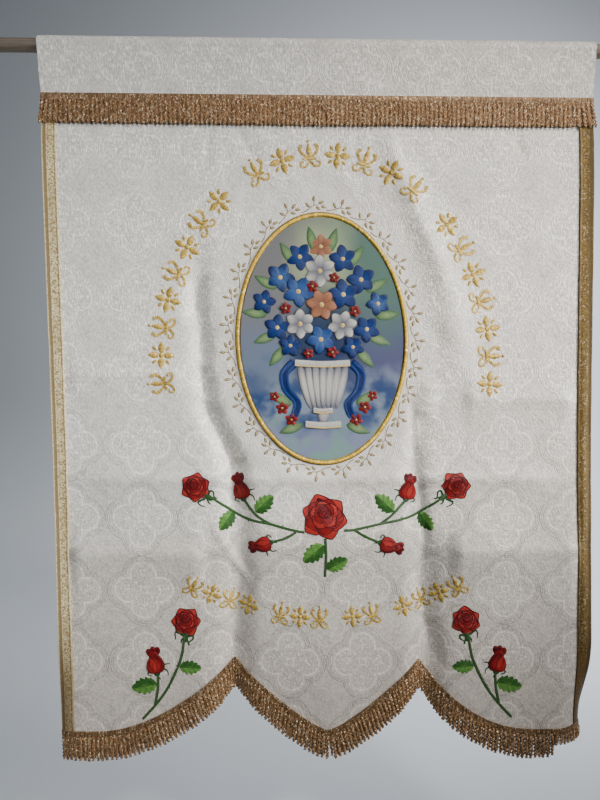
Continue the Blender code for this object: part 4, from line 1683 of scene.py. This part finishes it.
def addBlossom(bm, place, turn, height, seed):
    # four pointed petals round a bead, small drops between them
    unit, gold = height / 2, plain(goldDye)
    for k in range(8):
        part = Motif(bm, place, unit, turn + math.radians(45 * k), 1, seed + k // 2)
        if k % 2 == 0:
            part.patch(ovalEdge(unit * 0.25, unit * 0.40, 0.5), (0, 0.50), 0, 0, 0.0014, gold, 12, 4)
        else:
            part.patch(ovalEdge(unit * 0.12, unit * 0.22, 0.3), (0, 0.64), 0, 0, 0.0011, gold, 8, 4)
    bead = Motif(bm, place, unit, turn, 1, seed)
    bead.patch(ovalEdge(unit * 0.17, unit * 0.17), (0, 0), 0, 0.0003, 0.0013, gold, 10, 4)


def makeArc(name, plan):
    bm = newStitchwork()
    spaces = []
    for i, group in enumerate(plan["groups"]):
        spaces += [1.0] * (group - 1) + ([1.0 + plan["gap"]] if i < len(plan["groups"]) - 1 else [])
    shares = np.concatenate([[0], np.cumsum(spaces)]) / sum(spaces)
    angles = np.radians(np.linspace(plan["start"], plan["stop"], 721))
    x = plan["centre"][0] + plan["reach"][0] * np.cos(angles)
    y = plan["centre"][1] - plan["reach"][1] * np.sin(angles)
    run = runAlong(x, y)
    for number, share in enumerate(shares):
        here = np.interp(share * run[-1], run, angles)
        across = plan["centre"][0] + plan["reach"][0] * math.cos(here)
        down = plan["centre"][1] - plan["reach"][1] * math.sin(here)
        outward = math.atan2(plan["reach"][0] * math.sin(here), plan["reach"][1] * math.cos(here))
        turn = outward - math.pi / 2 if plan["start"] > 0 else outward + math.pi / 2
        add = addFleuron if number % 2 == 0 else addBlossom
        add(bm, (across, down), turn, plan["height"], number * 0.53)
    finishStitches(name, bm, metal["goldStitch"])


makeArc("upperOrnament", arcs["upper"])
makeArc("lowerOrnament", arcs["lower"])
print("gold ornament is embroidered")


# The medallion's own picture: a full bouquet of blue and white flowers in a fluted urn

bouquet = {
    "blue": (0.003, 0.013, 0.080),
    "midBlue": (0.009, 0.036, 0.150),
    "paleBlue": (0.036, 0.090, 0.240),
    "white": (0.42, 0.41, 0.385),
    "shadow": (0.090, 0.096, 0.130),
    "tan": (0.180, 0.075, 0.040),
    "peach": (0.300, 0.130, 0.072),
    "green": (0.035, 0.090, 0.040),
    "paleGreen": (0.170, 0.260, 0.110),
    "gold": (0.560, 0.400, 0.140),
    "middle": (0.0, 0.455),
}

# Blossoms from the back to the front, in mm: across, up, half size, petals, inner and outer colour
blossoms = (
    (0, 140, 19, 6, "tan", "peach"), (-33, 124, 21, 5, "midBlue", "blue"),
    (34, 121, 21, 5, "midBlue", "blue"), (-64, 92, 22, 5, "paleBlue", "blue"),
    (62, 89, 22, 5, "midBlue", "blue"), (-90, 54, 18, 5, "midBlue", "blue"),
    (88, 52, 18, 5, "paleBlue", "blue"), (-70, 14, 20, 5, "midBlue", "blue"),
    (70, 12, 20, 5, "midBlue", "blue"), (-2, 102, 24, 6, "shadow", "white"),
    (-36, 70, 23, 5, "paleBlue", "midBlue"), (34, 66, 23, 5, "midBlue", "blue"),
    (-34, 20, 22, 6, "shadow", "white"), (32, 18, 22, 6, "shadow", "white"),
    (0, 50, 23, 6, "tan", "peach"), (-2, -4, 22, 5, "paleBlue", "midBlue"),
    (-50, -14, 17, 5, "midBlue", "blue"), (48, -16, 17, 5, "midBlue", "blue"),
    (-14, 78, 9, 5, "outline", "red"), (52, 40, 9, 5, "outline", "red"),
    (-56, 44, 9, 5, "outline", "red"), (16, -24, 9, 5, "outline", "red"),
    (-22, -26, 8, 5, "outline", "red"), (20, 92, 8, 5, "outline", "red"),
)
berries = (
    (-64, -112, 10), (-50, -130, 10), (-76, -94, 8), (66, -110, 10), (52, -130, 10), (78, -92, 8),
)
greenery = (
    (-14, 150, 14), (18, 148, -18), (-52, 128, 34), (54, 124, -36), (-86, 84, 62), (86, 80, -62),
    (-104, 36, 84), (102, 34, -84), (-88, -2, 112), (88, -4, -112), (-70, -30, 140),
    (66, -32, -138), (-66, -98, 60), (-50, -144, 110), (68, -96, -60), (54, -144, -110),
)


def colorOf(name):
    return bouquet.get(name) or silk[name]


def addFlower(bm, place, size, petals, inner, outer, turn, floor, seed):
    inner, outer = colorOf(inner), colorOf(outer)
    dark = plain(blend((0, 0, 0), outer, 0.30))
    shade = petalPaintedShadow(inner, outer, size * 0.36, size * 0.48)
    under, over = ovalEdge(size * 0.40, size * 0.52, 0.2), ovalEdge(size * 0.36, size * 0.48, 0.2)
    for k in range(petals):
        petal = Motif(bm, place, size, turn + 2 * math.pi * k / petals, 1, seed, floor + 0.00003 * k)
        petal.patch(under, (0, 0.52), 0, 0, 0.0005, dark, 14, 4)
        petal.patch(over, (0, 0.52), 0, 0.00012, 0.0006, shade, 14, 6, 1.5, k)
    heart = Motif(bm, place, size, turn, 1, seed, floor)
    heart.patch(ovalEdge(size * 0.17, size * 0.17), (0, 0), 0, 0.0005, 0.0007, plain(bouquet["gold"]),
                10, 4)


def addUrn(picture):
    # flutes that narrow downwards, a rim, and a foot
    flute, pale = rimmed(bouquet["white"], bouquet["shadow"], 0.30), bouquet["white"]
    for k in (-3, 3, -2, 2, -1, 1, 0):
        lean, lift = math.radians(-4.5 * k), 0.0002 * (3 - abs(k))
        picture.patch(eggEdge(0.0075, 0.038, -0.15), (9.5 * k, -78), lean, lift, 0.0010, flute, 16, 8,
                      1.5, k * 0.3)
    foot = rimmed(bouquet["white"], bouquet["shadow"], 0.2)
    picture.patch(ovalEdge(0.010, 0.016), (0, -122), 0, 0, 0.0012, foot, 14, 6, seed=0.4)
    for y, reach, wide in ((-41, 43, 0.010), (-114, 15, 0.006), (-137, 28, 0.010)):
        path = [(-reach, y), (0, y - 2), (reach, y)]
        picture.line(path, wide, 0.0013, 0.0008, pale, 8, 12, seed=0.2)
        path = [(x, up - 4) for x, up in path]
        picture.line(path, 0.0022, 0.0009, 0.0016, bouquet["gold"], 6, 10, seed=0.6)


def addRibbons(picture):
    # blue ribbons that fall from the urn's rim: shift, width, lift, rise, colour
    ribbons = ((0, 0.020, 0, 0.0010, "blue"), (5, 0.006, 0.0008, 0.0007, "midBlue"),
               (-5, 0.005, 0.0008, 0.0007, "midBlue"))
    for picture.side in (-1, 1):
        for shift, wide, lift, rise, color in ribbons:
            path = [(x + shift, up) for x, up in ((44, -40), (60, -58), (56, -84), (40, -104),
                                                  (46, -126))]
            seed = shift * 0.2 + picture.side
            picture.line(path, wide, rise, lift, bouquet[color], 8, 18, (0.8, 0.55), seed)


def makeBouquet():
    bm = newStitchwork()
    floor = overPanel + medallion["thick"] - 0.0002
    picture = Motif(bm, bouquet["middle"], 0.001, 0.0, 1, 0.0, floor)   # its frame is in mm
    shade = rimmed(bouquet["paleGreen"], bouquet["green"], 0.1)
    for across, up, lean in greenery:
        lean = math.radians(lean)
        picture.patch(ovalEdge(0.0085, 0.020, 0.45), (across, up), lean, 0, 0.0007, shade, 14, 6, 0.6,
                      across * 0.1)
    addRibbons(picture)
    addUrn(picture)
    for i, (across, up, size, petals, inner, outer) in enumerate(blossoms):
        place, height = picture.at(across, up), floor + 0.0001 * i
        addFlower(bm, place, size / 1000, petals, inner, outer, i * 0.7, height, i * 0.9)
    for i, (across, up, size) in enumerate(berries):
        place, height = picture.at(across, up), floor + 0.0004
        addFlower(bm, place, size / 1000, 5, "outline", "red", i * 1.1, height, i * 1.7)
    finishStitches("bouquet", bm, silkThread)


makeBouquet()
print("bouquet is embroidered")


# What the cloth was cut to, and the sizes

def declareSheets():
    across = np.linspace(-half, half, 401)
    bottom = hemLine(across) + fringe["header"]
    longest = float(bottom.max()) - cloth["top"]
    cutArea = float(np.mean(bottom) - cloth["top"]) * cloth["width"]
    cloth["width"]
    line = headingProfile()
    strip = sum(math.dist(a, b) for a, b in zip(line, line[1:]))
    cloth["width"]
    wide = 2 * (medallion["halfWidth"] - medallion["borderWidth"])
    tall = 2 * (medallion["halfHeight"] - medallion["borderWidth"])


declareSheets()
